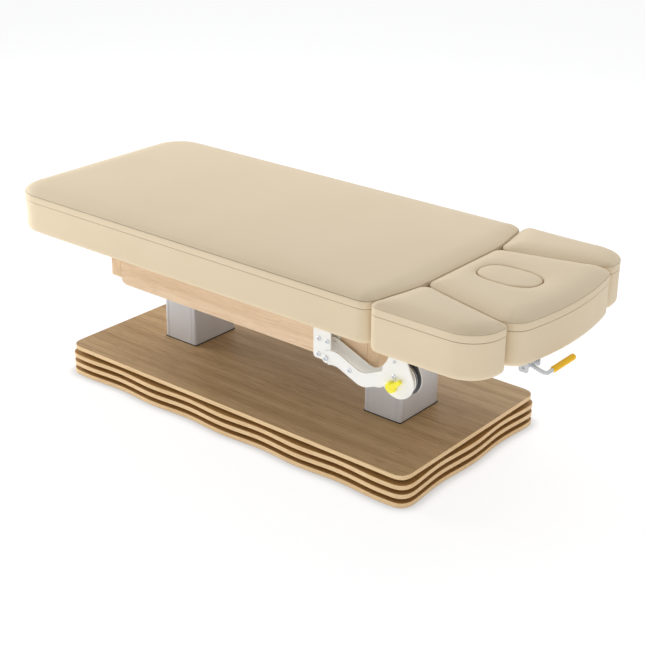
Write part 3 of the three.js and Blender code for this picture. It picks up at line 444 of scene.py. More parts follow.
def oak(name, light, dark, pore, turn=None, shine=0.55, contrast=(0.36, 0.64), streaks=1.0):
    wood = Finish(name, specular=0.3)
    if turn:
        wood.turned(turn)
    figure = wood.effect(oak_group, Streaks=streaks)
    ground = wood.between(span(wood.tree, figure["Tone"], *contrast), dark, light)
    weight = math_node(wood.tree, "MULTIPLY", figure["Pores"], 0.55)
    colour = wood.between(weight, ground, pore)
    normal = wood.bump(figure["Height"], 0.25, 0.0003)
    rough = span(wood.tree, figure["Tone"], 0.3, 0.7, shine + 0.07, shine - 0.05)
    return wood.feed(Base_Color=colour, Roughness=rough, Normal=normal)


ACROSS = (0, 0, math.pi / 2)
rail_oak = oak("oak_rail", srgb(238, 212, 180), srgb(220, 189, 154), srgb(194, 156, 114))
beam_oak = oak("oak_beam", srgb(238, 210, 174), srgb(218, 187, 149), srgb(182, 145, 103), turn=ACROSS)
CRISP = (0.41, 0.59)
top_oak = oak(
    "oak_base_top", srgb(196, 168, 126), srgb(168, 139, 98), srgb(112, 84, 50), shine=0.46, contrast=CRISP
)
edge_oak = oak("oak_lipping", srgb(238, 208, 164), srgb(224, 190, 142), srgb(204, 166, 118), streaks=0.6)
gap_oak = oak("oak_gap", srgb(190, 148, 90), srgb(168, 128, 74), srgb(118, 84, 44))
ply_wood = oak("plywood_board", srgb(214, 184, 138), srgb(196, 164, 118), srgb(160, 126, 84))

# %% [markdown]
# Metals and plastics. The columns are anodised, which is metal with a veil
# over it, so it is rougher than bare steel. The brackets wear white powder
# coat, which has a fine orange-peel skin.

# %% Metal, paint and plastic


def plain_finish(name, light, deep, metallic, rough, peel=0.0, peel_size=900, size=1.0, specular=0.5):
    made = Finish(name, metallic=metallic, specular=specular)
    marks = made.effect(marks_group, Size=size)
    colour = made.between(marks["Smudge"], deep, light)
    roughness = span(made.tree, marks["Smudge"], 0.25, 0.75, rough - 0.05, rough + 0.06)
    links = {"Base_Color": colour, "Roughness": roughness}
    if peel:
        skin = noise_at(made.tree, made.place, peel_size, 1.0)
        links["Normal"] = made.bump(skin, peel, 0.0002)
    return made.feed(**links)


column_metal = plain_finish(
    "anodised_column", srgb(222, 224, 229), srgb(213, 215, 220), 0.22, 0.36, 0.05, 1400
)
white_coat = plain_finish("white_powder_coat", srgb(250, 249, 244), srgb(246, 245, 239), 0.0, 0.34, 0.12, 900)
zinc_steel = plain_finish("zinc_steel", srgb(188, 190, 193), srgb(160, 163, 167), 1.0, 0.30)
screw_steel = plain_finish("screw_steel", srgb(226, 228, 232), srgb(205, 208, 213), 0.8, 0.26, size=4.0)
black_moulding = plain_finish("black_moulding", srgb(44, 44, 46), srgb(36, 36, 38), 0.0, 0.55, 0.3, 1500)
yellow_knob = plain_finish(
    "yellow_knob", srgb(255, 246, 70), srgb(253, 238, 40), 0.0, 0.38, 0.06, 700, size=4.0
)
amber_grip = plain_finish(
    "amber_grip", srgb(255, 205, 0), srgb(255, 196, 0), 0.0, 0.45, 0.06, 700, size=4.0, specular=0.3
)
pale_steel = plain_finish("pale_steel", srgb(216, 219, 222), srgb(192, 196, 200), 0.35, 0.34, size=3.0)
# A dark grey steel that paints the shade between the two plates of each armrest fork.
painted_shade_steel = plain_finish("painted_shade_steel", srgb(112, 114, 116), srgb(88, 90, 93), 0.3, 0.42, size=3.0)
glide_rubber = plain_finish("glide_rubber", srgb(40, 40, 42), srgb(30, 30, 32), 0.0, 0.8, 0.3, 600)
print("materials", len(bpy.data.materials))

# %% [markdown]
# ## Rigid pieces
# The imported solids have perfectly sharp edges, which no real edge has. We copy
# each one, merge its loose triangles into clean faces, and let a Bevel
# modifier round every edge that turns sharply. The copy stands in for the
# solid and moves with the same body.

# %% Rounded copies
SHARP = math.radians(32)
WELD = 0.00002
LEVEL = 0.7


def link_object(name, mesh, body):
    piece = bpy.data.objects.new(name, mesh)
    scene.collection.objects.link(piece)
    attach(piece, body)
    return piece


BODY_OF = {node: body for body, nodes in frame["record"]["behaviour"]["bodies"].items() for node in nodes}


def merged_copy(node):
    bm = bmesh.new()
    bm.from_mesh(frame["nodes"][node].data)
    bmesh.ops.remove_doubles(bm, verts=bm.verts, dist=WELD)
    bmesh.ops.dissolve_limit(bm, angle_limit=math.radians(1), verts=bm.verts, edges=bm.edges)
    return bm


def looks_up(face):
    return abs(face.normal.z) > LEVEL


def shift_levels(bm, top, bottom):
    """Moves the faces that look up or down, to set a board's thickness."""
    rising = {vert for face in bm.faces if face.normal.z > LEVEL for vert in face.verts}
    for vert in bm.verts:
        vert.co.z += top if vert in rising else bottom


def rounded_copy(node, material, width, segments=2, other=None, where=looks_up, levels=None):
    """A copy of a CAD node with rounded edges; some of its faces may take another finish."""
    bm = merged_copy(node)
    if levels:
        shift_levels(bm, *levels)
    for face in bm.faces:
        face.smooth = True
        if other and where(face):
            face.material_index = 1
    mesh = bpy.data.meshes.new(f"{node}_body")
    bm.to_mesh(mesh)
    bm.free()
    mesh.materials.append(material)
    if other:
        mesh.materials.append(other)
    mesh.set_sharp_from_angle(angle=SHARP)
    piece = link_object(f"{node}_body", mesh, BODY_OF[node])
    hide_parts(node)
    if width:
        bevel = piece.modifiers.new("rounded edges", "BEVEL")
        bevel.width, bevel.segments = width / 1000, segments
        bevel.limit_method, bevel.angle_limit = "ANGLE", SHARP
        bevel.harden_normals = True
    return piece


# %% [markdown]
# The base: the top board is stained on its face with a pale lipping round the
# edge. The three boards under it show pale edges and stained faces, which is
# why the gaps between them read as brown lines. We bring the boards to one
# thickness here, so that the boards and the gaps look equally tall. PITCH is
# the step from board to board.

# %% Base boards
PITCH, BOARD = 0.0297, 0.0152
CAD_PITCH, CAD_BOARD = 0.0275, 0.0190
drops = [level * (CAD_PITCH - PITCH) for level in range(4)]
lifts = [drop + CAD_BOARD - BOARD for drop in drops]
rounded_copy("base_top_board", edge_oak, 1.2, 3, top_oak, levels=(drops[0], lifts[0]))
for level in (1, 2, 3):
    rounded_copy(f"base_wave_board_{level}", edge_oak, 1.2, 3, gap_oak, levels=(drops[level], lifts[level]))
    rounded_copy(f"base_spacer_{level}", gap_oak, 0, levels=(lifts[level - 1], drops[level]))
for place in ("head_left", "head_right", "foot_left", "foot_right"):
    rounded_copy(f"base_glide_{place}", glide_rubber, 0.8)
print("base rounded")

# %% [markdown]
# The lift columns, the steel they carry, and the oak apron. Each row names the
# pieces, their finish and how far their edges are eased in millimetres.

# %% Columns, apron and steelwork
ENDS, LABELS = ("foot", "head"), ("left", "right")


def each(pattern, places):
    """The pattern once for every place, which stands where its star is."""
    return [pattern.replace("*", place) for place in places]


ROUNDED = [
    (each("column_*_outer", ENDS), column_metal, 0.35),
    (each("column_*_middle", ENDS) + each("column_*_inner", ENDS), column_metal, 0.3),
    (each("column_*_cap", ENDS) + each("bearer_*", ENDS), zinc_steel, 0.6),
    (each("lift_screw_*", ENDS), zinc_steel, 0.5),
    (each("lift_motor_*", ENDS) + ["control_box"], black_moulding, 1.0),
    (["mains_inlet"], black_moulding, 0.6),
    (each("apron_rail_*", LABELS), rail_oak, 1.2),
    (each("apron_beam_*", ENDS), beam_oak, 1.2),
    (["main_board", "head_board"] + each("arm_board_*", LABELS), ply_wood, 0.5),
    (["head_hinge_shaft", "gas_spring_rod"], zinc_steel, 0.5),
    (["gas_spring_body"], black_moulding, 1.0),
    (["head_frame"] + each("hinge_bracket_*", LABELS), white_coat, 0.7),
    (["lever_bracket"], pale_steel, 0.7),
    (each("arm_mount_*", LABELS) + each("arm_lower_link_*", LABELS), white_coat, 0.6),
    (each("arm_upper_link_*", LABELS), white_coat, 0.6),
    (each("arm_clamp_knob_*", LABELS), yellow_knob, 1.2),
]
for nodes, material, width in ROUNDED:
    for node in nodes:
        rounded_copy(node, material, width)
print("rounded", sum(len(row[0]) for row in ROUNDED), "pieces")

# %% [markdown]
# The fork of each armrest is white, but the inside of its inner plate takes a dark
# grey steel finish, which paints the shade that the outer plate casts there. The
# mount plate's upper edge is lifted until it meets the cushion.

# %% Forks and mount plates
INNER, NEARLY = 0.3502, 0.0004
UPPER_EDGE, CUSHION_EDGE = 0.487, 0.4992


def inside_of_fork(face):
    """The side of the fork's inner plate that looks at its outer plate."""
    middle = face.calc_center_median()
    return abs(abs(middle.y) - INNER) < NEARLY and face.normal.y * middle.y > 0


for label in LABELS:
    rounded_copy(f"arm_fork_{label}", white_coat, 0.6, other=painted_shade_steel, where=inside_of_fork)
    mount = bpy.data.objects[f"arm_mount_{label}_body"].data
    for vert in mount.vertices:
        if vert.co.z > UPPER_EDGE:
            vert.co.z = CUSHION_EDGE
print("forks and mount plates ready")

# %% [markdown]
# The release lever is a bent rod with a soft grip pushed over its end. The rod
# and the grip are fattened a little about their own middle lines, along their
# normals, and the grip's edges are rounded more than any steel edge.

# %% Release lever


def fattened(piece, amount):
    """Pushes every point out along its normal, before the edges are rounded."""
    mesh = piece.data
    moves = [vert.normal * amount for vert in mesh.vertices]
    for vert, move in zip(mesh.vertices, moves):
        vert.co += move


fattened(rounded_copy("release_lever", pale_steel, 0.4), 0.0012)
fattened(rounded_copy("lever_grip", amber_grip, 3.0, 4), 0.0018)
print("lever dressed")

# %% [markdown]
# ## Screws
# Button-head screws hold the armrest brackets and links. A head is a stack of
# rings, bridged one to the next: up the rim, over the low dome and down into a
# round recess. The head is then turned to face outwards from the plate it sits
# on. Lengths along the bed are given from the middle of the base.

# %% Button-head screws
MIDDLE = 0.0615
HEAD_HEIGHT, RECESS = 0.0035, 0.45


def at(x):
    """A place along the bed, given from the middle of the base."""
    return x - MIDDLE


def ring(bm, radius, level, sides):
    made = bmesh.ops.create_circle(bm, cap_ends=False, segments=sides, radius=radius)["verts"]
    bmesh.ops.translate(bm, vec=(0, 0, level), verts=made)
    return list({edge for vert in made for edge in vert.link_edges})


def stacked(bm, rings):
    """Bridges each ring to the next and closes both ends."""
    for lower, upper in zip(rings, rings[1:]):
        bmesh.ops.bridge_loops(bm, edges=lower + upper)
    bmesh.ops.holes_fill(bm, edges=rings[0] + rings[-1], sides=0)
    bmesh.ops.recalc_face_normals(bm, faces=bm.faces)


def screw_head(radius):
    """A button head that stands on z = 0, as a bmesh."""
    bm = bmesh.new()
    outline = [(1.0, 0.0), (1.0, 0.25), (0.93, 0.55), (0.78, 0.82), (0.60, 0.97)]
    outline += [(RECESS, 1.0), (RECESS, 0.35)]
    stacked(bm, [ring(bm, radius * share, HEAD_HEIGHT * level, 24) for share, level in outline])
    return bm


def turned_to(bm, direction, place):
    turn = Vector(direction).to_track_quat("Z", "Y").to_matrix()
    bmesh.ops.rotate(bm, cent=(0, 0, 0), matrix=turn, verts=bm.verts)
    bmesh.ops.translate(bm, vec=place, verts=bm.verts)


def finished(name, bm, material, body):
    for face in bm.faces:
        face.smooth = True
    mesh = bpy.data.meshes.new(name)
    bm.to_mesh(mesh)
    bm.free()
    mesh.materials.append(material)
    mesh.set_sharp_from_angle(angle=SHARP)
    link_object(name, mesh, body)


SIDES = (("left", -1), ("right", 1))
SCREWS = [
    ("upper_rear", "arm_mount", (0.4155, 0.3806, 0.4655), 0.0078),
    ("upper_front", "arm_mount", (0.446, 0.3806, 0.464), 0.0078),
    ("lower_rear", "arm_mount", (0.4145, 0.3806, 0.4165), 0.0078),
    ("pivot", "arm_lower_link", (0.445, 0.3869, 0.413), 0.0084),
    ("middle", "arm_lower_link", (0.531, 0.3849, 0.401), 0.0078),
    ("disc", "arm_fork", (0.691, 0.3892, 0.433), 0.0074),
    ("disc_top", "arm_fork", (0.691, 0.3892, 0.478), 0.0050),
]
for label, side in SIDES:
    for place, owner, (x, y, z), radius in SCREWS:
        head = screw_head(radius)
        turned_to(head, (0, side, 0), Vector((at(x), side * y, z)))
        finished(f"screw_{place}_{label}", head, screw_steel, BODY_OF[f"{owner}_{label}"])
print("screws", 2 * len(SCREWS))

# %% [markdown]
# Between the two plates of each fork sits a pack of friction discs, which the
# knob clamps. We see its dark rim, which is painted shade: a dark disc fills the
# space between the plates where they shade each other. Two bright discs sit in it,
# one painted and one of steel. Each row gives a radius and where the disc begins
# and ends.

# %% Friction discs
PACK_PLACE = Vector((at(0.702), 0, 0.4243))
# The dark disc is painted shade for the shadow between the fork's plates.
PACK = [
    ("dark", painted_shade_steel, "plain_steel", 0.0415, 0.3508, 0.3798),
    ("bright_outer", white_coat, "white_paint", 0.0480, 0.3664, 0.3706),
    ("bright_inner", screw_steel, "plain_steel", 0.0470, 0.3580, 0.3598),
]
for label, side in SIDES:
    for name, material, slot, radius, near, far in PACK:
        bm = bmesh.new()
        stacked(bm, [ring(bm, radius, level, 64) for level in (near, far)])
        turned_to(bm, (0, side, 0), PACK_PLACE)
        finished(f"friction_{name}_{label}", bm, material, f"armrest_{label}")
print("friction discs", 2 * len(PACK))

# %% [markdown]
# ## Cushions
# A cushion is foam on a plywood board in a sewn cover: a side panel, a narrow
# band, and a top panel that swells between its seams. We draw its plan as one
# face with rounded corners, then raise and inset that face, ring by ring. The
# heights are those of the underside, the band's two seams and the top; FOLD is
# how far the cover wraps under, and POCKET how deep the board sits in it.

# %% Plan and rings
UNDER, PANEL, BAND, TOP = 0.5006, 0.6065, 0.6295, 0.644
FOLD, POCKET = 0.012, 0.0123
STEP = 0.018


def plan_face(bm, corners, level):
    """One face through (x, y, radius) corners, each rounded by a vertex bevel."""
    points = [bm.verts.new((x, y, level)) for x, y, _ in corners]
    bm.faces.new(points)
    for point, (_, _, radius) in zip(points, corners):
        rounding = {"offset": radius, "segments": 8, "profile": 0.5, "material": -1}
        bmesh.ops.bevel(bm, geom=[point], affect="VERTICES", **rounding)
    for edge in list(bm.edges):
        cuts = int(edge.calc_length() / STEP)
        if cuts:
            bmesh.ops.subdivide_edges(bm, edges=[edge], cuts=cuts)
    bm.faces.ensure_lookup_table()
    return bm.faces[0]


def only(kind, items):
    return [item for item in items if isinstance(item, kind)]


def raised(bm, face, rise):
    """Extrudes the face straight up, opens the old one and returns the new one."""
    is_first = all(edge.is_boundary for edge in face.edges)
    made = bmesh.ops.extrude_face_region(bm, geom=[face])["geom"]
    new_face = only(bmesh.types.BMFace, made)[0]
    if not is_first and face.is_valid:
        bmesh.ops.delete(bm, geom=[face], context="FACES_ONLY")
    bmesh.ops.translate(bm, vec=(0, 0, rise), verts=new_face.verts)
    return new_face


def drawn_in(bm, face, rise, inset):
    """Insets the face by an even width and lifts it."""
    bmesh.ops.inset_region(bm, faces=[face], thickness=inset, depth=rise, use_even_offset=True)
    return face


def shrunk(bm, face, level, centre, scale):
    """Extrudes the face, then scales it about the centre at a given level."""
    face = raised(bm, face, 0)
    about = Matrix.Translation(-centre)
    bmesh.ops.scale(bm, vec=(scale[0], scale[1], 1), space=about, verts=face.verts)
    bmesh.ops.translate(bm, vec=(0, 0, level - face.verts[0].co.z), verts=face.verts)
    return face


def gridded(bm, face, step):
    """Cuts one flat face into a grid with level planes and returns its parts."""
    faces = [face]
    for axis, normal in enumerate(((1, 0, 0), (0, 1, 0))):
        spread = [vert.co[axis] for part in faces for vert in part.verts]
        low, size = min(spread), max(spread) - min(spread)
        count = max(round(size / step), 2)
        for index in range(1, count):
            place = Vector((0, 0, 0))
            place[axis] = low + size * index / count
            parts = {item for part in faces for item in (part, *part.edges, *part.verts)}
            cut = bmesh.ops.bisect_plane(bm, geom=list(parts), dist=1e-5, plane_co=place, plane_no=normal)
            faces = only(bmesh.types.BMFace, cut["geom"])
    return faces


# %% [markdown]
# A thin dark ring runs round the foot of each lift column, where it meets the
# base. It is painted shadow: a strip in the black rubber finish stands for the
# dark gap where the column stands. Its plan is the column's own outline, a
# millimetre larger all round.

# %% Column foot shadow rings
RIM, SHADOW_RING_CORNER, SHADOW_RING_HEIGHT = 0.0012, 0.004, 0.0028
for place in ENDS:
    low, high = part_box(f"column_{place}_outer")
    xs, ys = (low.x - RIM, high.x + RIM), (low.y - RIM, high.y + RIM)
    outline = [(xs[i], ys[j], SHADOW_RING_CORNER) for i, j in ((0, 0), (1, 0), (1, 1), (0, 1))]
    bm = bmesh.new()
    raised(bm, plan_face(bm, outline, low.z), SHADOW_RING_HEIGHT)
    bmesh.ops.recalc_face_normals(bm, faces=bm.faces)
    finished(f"column_shadow_ring_{place}", bm, glide_rubber, "base")
print("column seals ready")

# %% [markdown]
# The sides rise straight from the wrapped underside to the band. Real covers
# pull in a little between their corners, so the middle of each side panel is
# drawn in afterwards. The shoulder at the top is a few insets, each wider than
# the one before it.

# %% Sides and underside
SIDE_LEVELS = (0.536, 0.556, 0.576, 0.594, PANEL - 0.004, PANEL)
BAND_LEVELS = (PANEL + 0.004, 0.618, BAND - 0.004, BAND)
UNDER_FOLDS = ((0.002, 0.006), (0.003, 0.004), (0.004, 0.002), (0.005, 0))
CORNER_REACH, CORNER_EASE = 0.16, 0.7


def walls(bm, corners):
    """The closed form up to the top of the band; returns its upper face."""
    low = plan_face(bm, corners, UNDER + FOLD)
    high = raised(bm, low, 0.006)
    bmesh.ops.recalc_face_normals(bm, faces=bm.faces)
    for level in SIDE_LEVELS + BAND_LEVELS:
        high = raised(bm, high, level - high.verts[0].co.z)
    return high


def wrap_underside(bm):
    """Folds the cover round to the board and sinks the pocket that holds it."""
    low = min(bm.faces, key=lambda face: face.calc_center_median().z)
    for inset, drop in UNDER_FOLDS:
        drawn_in(bm, low, drop, inset)
    return raised(bm, low, POCKET)


def shoulder(bm, face, steps):
    for inset, rise in steps:
        face = drawn_in(bm, face, rise, inset)
    return face


def domed(bm, height, reach):
    """Lets the top panel rise softly with its distance from the seam."""
    rim = [edge for edge in bm.edges if all(abs(vert.co.z - BAND) < 1e-5 for vert in edge.verts)]
    spans = [[vert.co.xy.to_3d() for vert in edge.verts] for edge in rim]
    for vert in bm.verts:
        if vert.co.z < BAND + 1e-4:
            continue
        spot = vert.co.xy.to_3d()
        gap = 1.0
        for start, end in spans:
            share = geometry.intersect_point_line(spot, start, end)[1]
            share = min(max(share, 0), 1)
            gap = min(gap, (start + (end - start) * share - spot).length)
        vert.co.z = BAND + height * (1 - math.exp(-gap / reach))


def let_down(bm, amount):
    """Lowers the underside's edge, but leaves the pocket at the board."""
    for vert in bm.verts:
        if vert.co.z < UNDER + FOLD + 0.0001:
            vert.co.z -= amount


def pull_sides(bm, corners, amount):
    """Draws the side panels in, most at mid height and far from the corners."""
    bm.normal_update()
    spots = [Vector((x, y)) for x, y, _ in corners]
    for vert in bm.verts:
        if not UNDER + 0.01 < vert.co.z < PANEL - 0.003 or abs(vert.normal.z) > 0.5:
            continue
        reach = min((vert.co.xy - spot).length for spot in spots)
        share = min(reach / CORNER_REACH, 1) ** CORNER_EASE
        height = (vert.co.z - UNDER) / (PANEL - UNDER)
        vert.co.xy -= vert.normal.xy.normalized() * amount * share * math.sin(math.pi * height)


def swell_band(bm, amount):
    """Lets the narrow band stand out between its two seams."""
    bm.normal_update()
    for vert in bm.verts:
        if PANEL + 0.002 < vert.co.z < BAND - 0.002 and abs(vert.normal.z) < 0.5:
            vert.co.xy += vert.normal.xy.normalized() * amount


# %% [markdown]
# The top panel is blown up with a short cloth simulation: pressure inside, no
# gravity, and every point up to the seam held still. The swelling is capped,
# because foam under the cover holds it to a few millimetres.

# %% Pressure
PRESSURE, LAST_FRAME = 4, 20


def evaluated(piece):
    return piece.evaluated_get(bpy.context.evaluated_depsgraph_get())


def puff(piece, is_free, limit):
    """Lets the free points swell under pressure, by at most limit metres."""
    held = [v.index for v in piece.data.vertices if not is_free(v.co)]
    group = piece.vertex_groups.new(name="held")
    group.add(held, 1.0, "REPLACE")
    cloth = piece.modifiers.new("cover pressure", "CLOTH")
    cloth.settings.quality = 5
    cloth.settings.use_pressure = True
    cloth.settings.uniform_pressure_force = PRESSURE
    cloth.settings.effector_weights.gravity = 0
    cloth.settings.vertex_group_mass = "held"
    cloth.point_cache.frame_start, cloth.point_cache.frame_end = 1, LAST_FRAME
    for number in range(1, LAST_FRAME + 1):
        scene.frame_set(number)
    places = [v.co.copy() for v in evaluated(piece).data.vertices]
    piece.modifiers.remove(cloth)
    piece.vertex_groups.remove(group)
    scene.frame_set(1)
    far = 0.0
    for vert, place in zip(piece.data.vertices, places):
        move = place - vert.co
        far = max(far, move.length)
        if move.length > 1e-7:
            vert.co += move.normalized() * limit * math.tanh(move.length / limit)
    print(piece.name, "swelled", round(far * 1000, 1), "mm, capped at", limit * 1000)


# %% [markdown]
# A sewn seam is a crisp line, narrower than the spacing of the mesh. Five level
# cuts give it edges of its own around its height, and the middle one is pushed
# in. The same loop marks the seam for the material, which paints shade into it:
# the deeper, the darker. A seam is a row of its height, its depth and half its
# width.

# %% Seams
CUTS = (-2.2, -1, 0, 1, 2.2)
DARK_DEPTH = 0.0022


def carve_seam(bm, layer, level, depth, half, outside):
    """Cuts a narrow groove round the cushion at one height."""
    for offset in CUTS:
        parts = list(bm.verts) + list(bm.edges) + list(bm.faces)
        place = (0, 0, level + offset * half)
        bmesh.ops.bisect_plane(bm, geom=parts, dist=1e-6, plane_co=place, plane_no=(0, 0, 1))
    bm.normal_update()
    middle = [v for v in bm.verts if abs(v.co.z - level) < 2e-6 and outside(v.co)]
    moves = [(v, v.normal.copy()) for v in middle]
    for vert, normal in moves:
        flat = Vector((normal.x, normal.y, 0)).normalized()
        vert.co -= flat * depth
        # Painted shade: how dark the seam is painted follows how deep it is cut.
        vert[layer] = min(depth / DARK_DEPTH, 1.0)


def on_top(co):
    """The free part of a cover: all of its top panel above the seam."""
    return co.z > BAND + 0.001


def everywhere(co):
    return True


def dressed(name, bm, body, node, is_free, limit, seams, outside=everywhere):
    """Turns a cushion's form into a finished piece that rides on its body."""
    bmesh.ops.recalc_face_normals(bm, faces=bm.faces)
    mesh = bpy.data.meshes.new(name)
    bm.to_mesh(mesh)
    bm.free()
    piece = bpy.data.objects.new(name, mesh)
    scene.collection.objects.link(piece)
    puff(piece, is_free, limit)
    smooth = piece.modifiers.new("smooth", "SUBSURF")
    smooth.levels = smooth.render_levels = 1
    rounded = bpy.data.meshes.new_from_object(evaluated(piece))
    piece.modifiers.remove(smooth)
    bm = bmesh.new()
    bm.from_mesh(rounded)
    layer = bm.verts.layers.float.new("seam")
    for level, depth, half in seams:
        carve_seam(bm, layer, level, depth, half, outside)
    for face in bm.faces:
        face.smooth = True
    bm.to_mesh(mesh)
    bm.free()
    mesh.materials.clear()
    mesh.materials.append(cover_skin)
    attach(piece, body)
    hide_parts(node)
    print(name, len(mesh.polygons), "faces")


# %% [markdown]
# The main cushion is one long slab with generous foot corners and a shallow
# point at the head end, where the two slants meet the armrests. Its top is a
# few insets and then a grid that rises to a low crown.

# %% Main cushion
SIDE_END, POINT = (0.600, 0.400), (0.638, 0.205)
SHOULDER = [(0.0025, 0.0035), (0.0045, 0.0045), (0.0055, 0.0035), (0.015, 0.003)]
PANEL_SEAM = (PANEL, 0.0022, 0.0009)


def both_sides(half):
    """The corners of a plan, from its corners on the right side, foot to head."""
    return [(x, -y, radius) for x, y, radius in half] + half[::-1]


def crowned(bm, face, step, crown):
    """Cuts the top panel into a grid and lifts it to a low crown."""
    parts = gridded(bm, face, step)
    verts = {vert for part in parts for vert in part.verts}
    spread = [[vert.co[axis] for vert in verts] for axis in (0, 1)]
    middle = [(max(row) + min(row)) / 2 for row in spread]
    half = [(max(row) - min(row)) / 2 for row in spread]
    for vert in verts:
        across = [min(abs(vert.co[axis] - middle[axis]) / half[axis], 1) for axis in (0, 1)]
        vert.co.z += crown * (1 - across[0] ** 4) * (1 - across[1] ** 4)


main_corners = both_sides([
    (at(-0.925), SIDE_END[1], 0.120),
    (at(SIDE_END[0]), SIDE_END[1], 0.038),
    (at(POINT[0]), POINT[1], 0.030),
])
bm = bmesh.new()
top = shoulder(bm, walls(bm, main_corners), SHOULDER)
crowned(bm, top, 0.025, 0.003)
gridded(bm, wrap_underside(bm), 0.08)
pull_sides(bm, main_corners, 0.0012)
swell_band(bm, 0.0008)
main_seams = [PANEL_SEAM, (BAND, 0.0024, 0.0011)]
dressed("main_cushion_cover", bm, "deck", "main_cushion", on_top, 0.003, main_seams)

# %% [markdown]
# Each armrest cushion is a wedge: straight outside, slanting along the head
# cushion, with a long soft curve at the front. One list of corners serves both,
# and side turns its sign for the left one.

# %% Armrest cushions
SPLIT_REAR, SPLIT_FRONT = Vector((0.6425, 0.184)), Vector((0.981, 0.275))
SPLIT_GAP, REAR_GAP, ARM_SIDE = 0.002, 0.0045, 0.411


def split_y(x):
    slope = (SPLIT_FRONT.y - SPLIT_REAR.y) / (SPLIT_FRONT.x - SPLIT_REAR.x)
    return SPLIT_REAR.y + slope * (x - SPLIT_REAR.x)


def arm_corners(side):
    slope = (POINT[0] - SIDE_END[0]) / (SIDE_END[1] - POINT[1])
    rear = SIDE_END[0] + (SIDE_END[1] - ARM_SIDE) * slope + REAR_GAP
    listed = [
        (at(rear), ARM_SIDE, 0.038),
        (at(0.972), ARM_SIDE, 0.094),
        (at(0.981), split_y(0.981) + SPLIT_GAP, 0.021),
        (at(0.647), split_y(0.647) + SPLIT_GAP, 0.040),
    ]
    return [(x, side * y, radius) for x, y, radius in listed]


SOFT_SHOULDER = [(inset, 0.002) for inset in (0.002, 0.003, 0.004, 0.005, 0.006)]
SOFT_SEAMS = [PANEL_SEAM, (BAND, 0.0008, 0.0011)]
for label, side in SIDES:
    corners = arm_corners(side)
    bm = bmesh.new()
    top = shoulder(bm, walls(bm, corners), SOFT_SHOULDER)
    gridded(bm, top, 0.014)
    domed(bm, 0.0175, 0.017)
    gridded(bm, wrap_underside(bm), 0.05)
    let_down(bm, 0.005)
    pull_sides(bm, corners, 0.0010)
    node = f"arm_cushion_{label}"
    dressed(f"{node}_cover", bm, f"armrest_{label}", node, on_top, 0.0035, SOFT_SEAMS)

# %% [markdown]
# The head cushion has a hole for the face. Its outer walls rise like the
# others, then the top is a ring of faces bridged from the shoulder to an oval
# lip, and the lip turns down into a lined well. ROUND says how square the oval
# is: 2 would be an ellipse.

# %% Head cushion
FACE = Vector((at(0.804), 0, 0))
OVAL = (0.099, 0.064)
ROUND = 2.5
FRONT = 0.990
BOW_START, BOW_LENGTH, BOW = 0.90, 0.09, 0.039
LIP_MARGIN, LIP_RISE = 0.0075, 0.0035
DIP, DIP_FADE = 0.0035, 1.6
LIP_LOOPS = [(-0.0010, 0.0030), (-0.0025, 0.0025), (-0.0035, 0.0014), (-0.006, 0.0006)]
WELL_LOOPS = [(-0.04, 0), (-0.04, 0)]
head_corners = both_sides([
    (at(0.6425), split_y(0.6425) - SPLIT_GAP, 0.030),
    (at(FRONT), split_y(FRONT) - SPLIT_GAP, 0.060),
])


def bow_front(bm):
    """Bends the straight front edge of the plan into a shallow curve."""
    reach = split_y(FRONT)
    for vert in bm.verts:
        front = (vert.co.x - at(BOW_START)) / BOW_LENGTH
        if front > 0:
            vert.co.x += BOW * min(front, 1) ** 2 * (1 - (vert.co.y / reach) ** 2)


def squared(verts):
    """Pushes a unit circle out towards a rounded rectangle."""
    for vert in verts:
        power = (abs(vert.co.x) ** ROUND + abs(vert.co.y) ** ROUND) ** (1 / ROUND)
        vert.co.xy /= power


def oval_loop(bm, count, margin, level):
    made = bmesh.ops.create_circle(bm, cap_ends=False, segments=count, radius=1)["verts"]
    squared(made)
    bmesh.ops.scale(bm, vec=(OVAL[0] + margin, OVAL[1] + margin, 1), verts=made)
    bmesh.ops.translate(bm, vec=FACE + Vector((0, 0, level)), verts=made)
    return list({edge for vert in made for edge in vert.link_edges})


def loop_down(bm, edges, rise, shrink):
    made = bmesh.ops.extrude_edge_only(bm, edges=edges)["geom"]
    verts = only(bmesh.types.BMVert, made)
    bmesh.ops.translate(bm, vec=(0, 0, rise), verts=verts)
    size = max(vert.co.x for vert in verts) - FACE.x
    wide = max(vert.co.y for vert in verts)
    scale = ((size - shrink) / size, (wide - shrink) / wide, 1)
    bmesh.ops.scale(bm, vec=scale, space=Matrix.Translation(-FACE), verts=verts)
    return [edge for edge in only(bmesh.types.BMEdge, made) if all(v in verts for v in edge.verts)]


bm = bmesh.new()
top = shoulder(bm, walls(bm, head_corners), SOFT_SHOULDER)
bow_front(bm)
ring_edges = list(top.edges)
bmesh.ops.delete(bm, geom=[top], context="FACES_ONLY")
lip_edges = oval_loop(bm, len(ring_edges), LIP_MARGIN, TOP + LIP_RISE)
spokes = bmesh.ops.bridge_loops(bm, edges=ring_edges + lip_edges)["edges"]
bmesh.ops.subdivide_edges(bm, edges=spokes, cuts=7, use_grid_fill=True)
domed(bm, 0.0180, 0.019)
for vert in bm.verts:
    if vert.co.z > BAND + 0.001:
        across = (abs(vert.co.x - FACE.x) / OVAL[0]) ** ROUND + (abs(vert.co.y) / OVAL[1]) ** ROUND
        vert.co.z -= DIP * math.exp(-max(across - 1, 0) * DIP_FADE)
edges = lip_edges
for rise, shrink in LIP_LOOPS + WELL_LOOPS:
    edges = loop_down(bm, edges, rise, shrink)
print("well rim at", round(min(v.co.z for e in edges for v in e.verts), 4))

# %% [markdown]
# The well ends on the board. Its last loop is carried down to the pocket and
# the underside is wrapped round to meet it, so the cover stays one closed skin.

# %% Close the head cushion


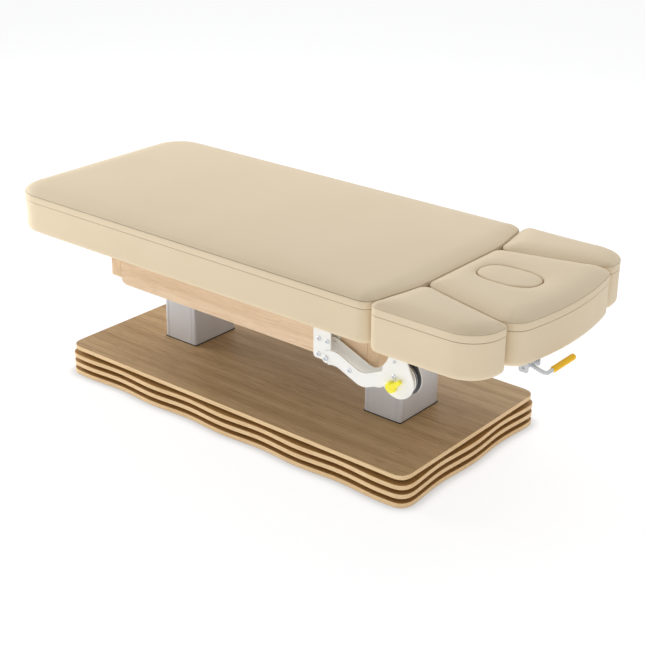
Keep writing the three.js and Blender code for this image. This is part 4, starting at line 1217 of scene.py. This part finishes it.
def beyond_oval(co, half_x, half_y):
    return ((co.x - FACE.x) / half_x) ** 2 + (co.y / half_y) ** 2 > 1


def on_head_top(co):
    """The top panel without the lip round the hole, which stays still."""
    return on_top(co) and beyond_oval(co, OVAL[0] + 0.006, OVAL[1] + 0.006)


def outer_wall(co):
    """Keeps the seams of the sides out of the well."""
    return beyond_oval(co, 0.115, 0.08)


pocket = wrap_underside(bm)
pocket_edges = list(pocket.edges)
bmesh.ops.delete(bm, geom=[pocket], context="FACES_ONLY")
bottom_verts = {v for e in edges for v in e.verts}
for vert in bottom_verts:
    vert.co.z = UNDER + POCKET
bmesh.ops.bridge_loops(bm, edges=pocket_edges + edges)
pull_sides(bm, head_corners, 0.0010)
dressed("head_cushion_cover", bm, "head_section", "head_cushion", on_head_top, 0.003, SOFT_SEAMS, outer_wall)

# %% [markdown]
# The plug fills the face hole. It is a small oval pad with a crisp edge, and
# the thin dark line round it is simply the gap between the two covers.

# %% Face hole plug
PLUG_FOOT, PLUG_TOP = 0.5132, 0.6445
PLUG_GAP, EASED = 0.0046, 0.003
PLUG_LEVELS = (0.54, 0.57, 0.60, 0.62, 0.634, 0.6405)
PLUG_EDGE = ((0.6425, 0.0006), (0.6438, 0.0016), (PLUG_TOP, 0.0030))


def on_plug_top(co):
    return co.z > PLUG_TOP


bm = bmesh.new()
bmesh.ops.create_circle(bm, cap_ends=True, segments=64, radius=1)
squared(bm.verts)
bmesh.ops.scale(bm, vec=(OVAL[0] - PLUG_GAP, OVAL[1] - PLUG_GAP, 1), verts=bm.verts)
bmesh.ops.translate(bm, vec=FACE + Vector((0, 0, PLUG_FOOT)), verts=bm.verts)
bm.faces.ensure_lookup_table()
foot = bm.faces[0]
face = raised(bm, foot, 0.0)
wider = (1 + EASED / OVAL[0], 1 + EASED / OVAL[1], 1)
bmesh.ops.scale(bm, vec=wider, space=Matrix.Translation(-FACE), verts=face.verts)
bmesh.ops.translate(bm, vec=(0, 0, EASED), verts=face.verts)
for level in PLUG_LEVELS:
    face = raised(bm, face, level - face.verts[0].co.z)
for level, inset in PLUG_EDGE:
    face = shrunk(bm, face, level, FACE, (1 - inset / OVAL[0], 1 - inset / OVAL[1]))
crowned(bm, face, 0.014, 0.0025)
gridded(bm, foot, 0.04)
dressed("face_plug_cover", bm, "face_plug", "face_hole_plug", on_plug_top, 0.0012, [])
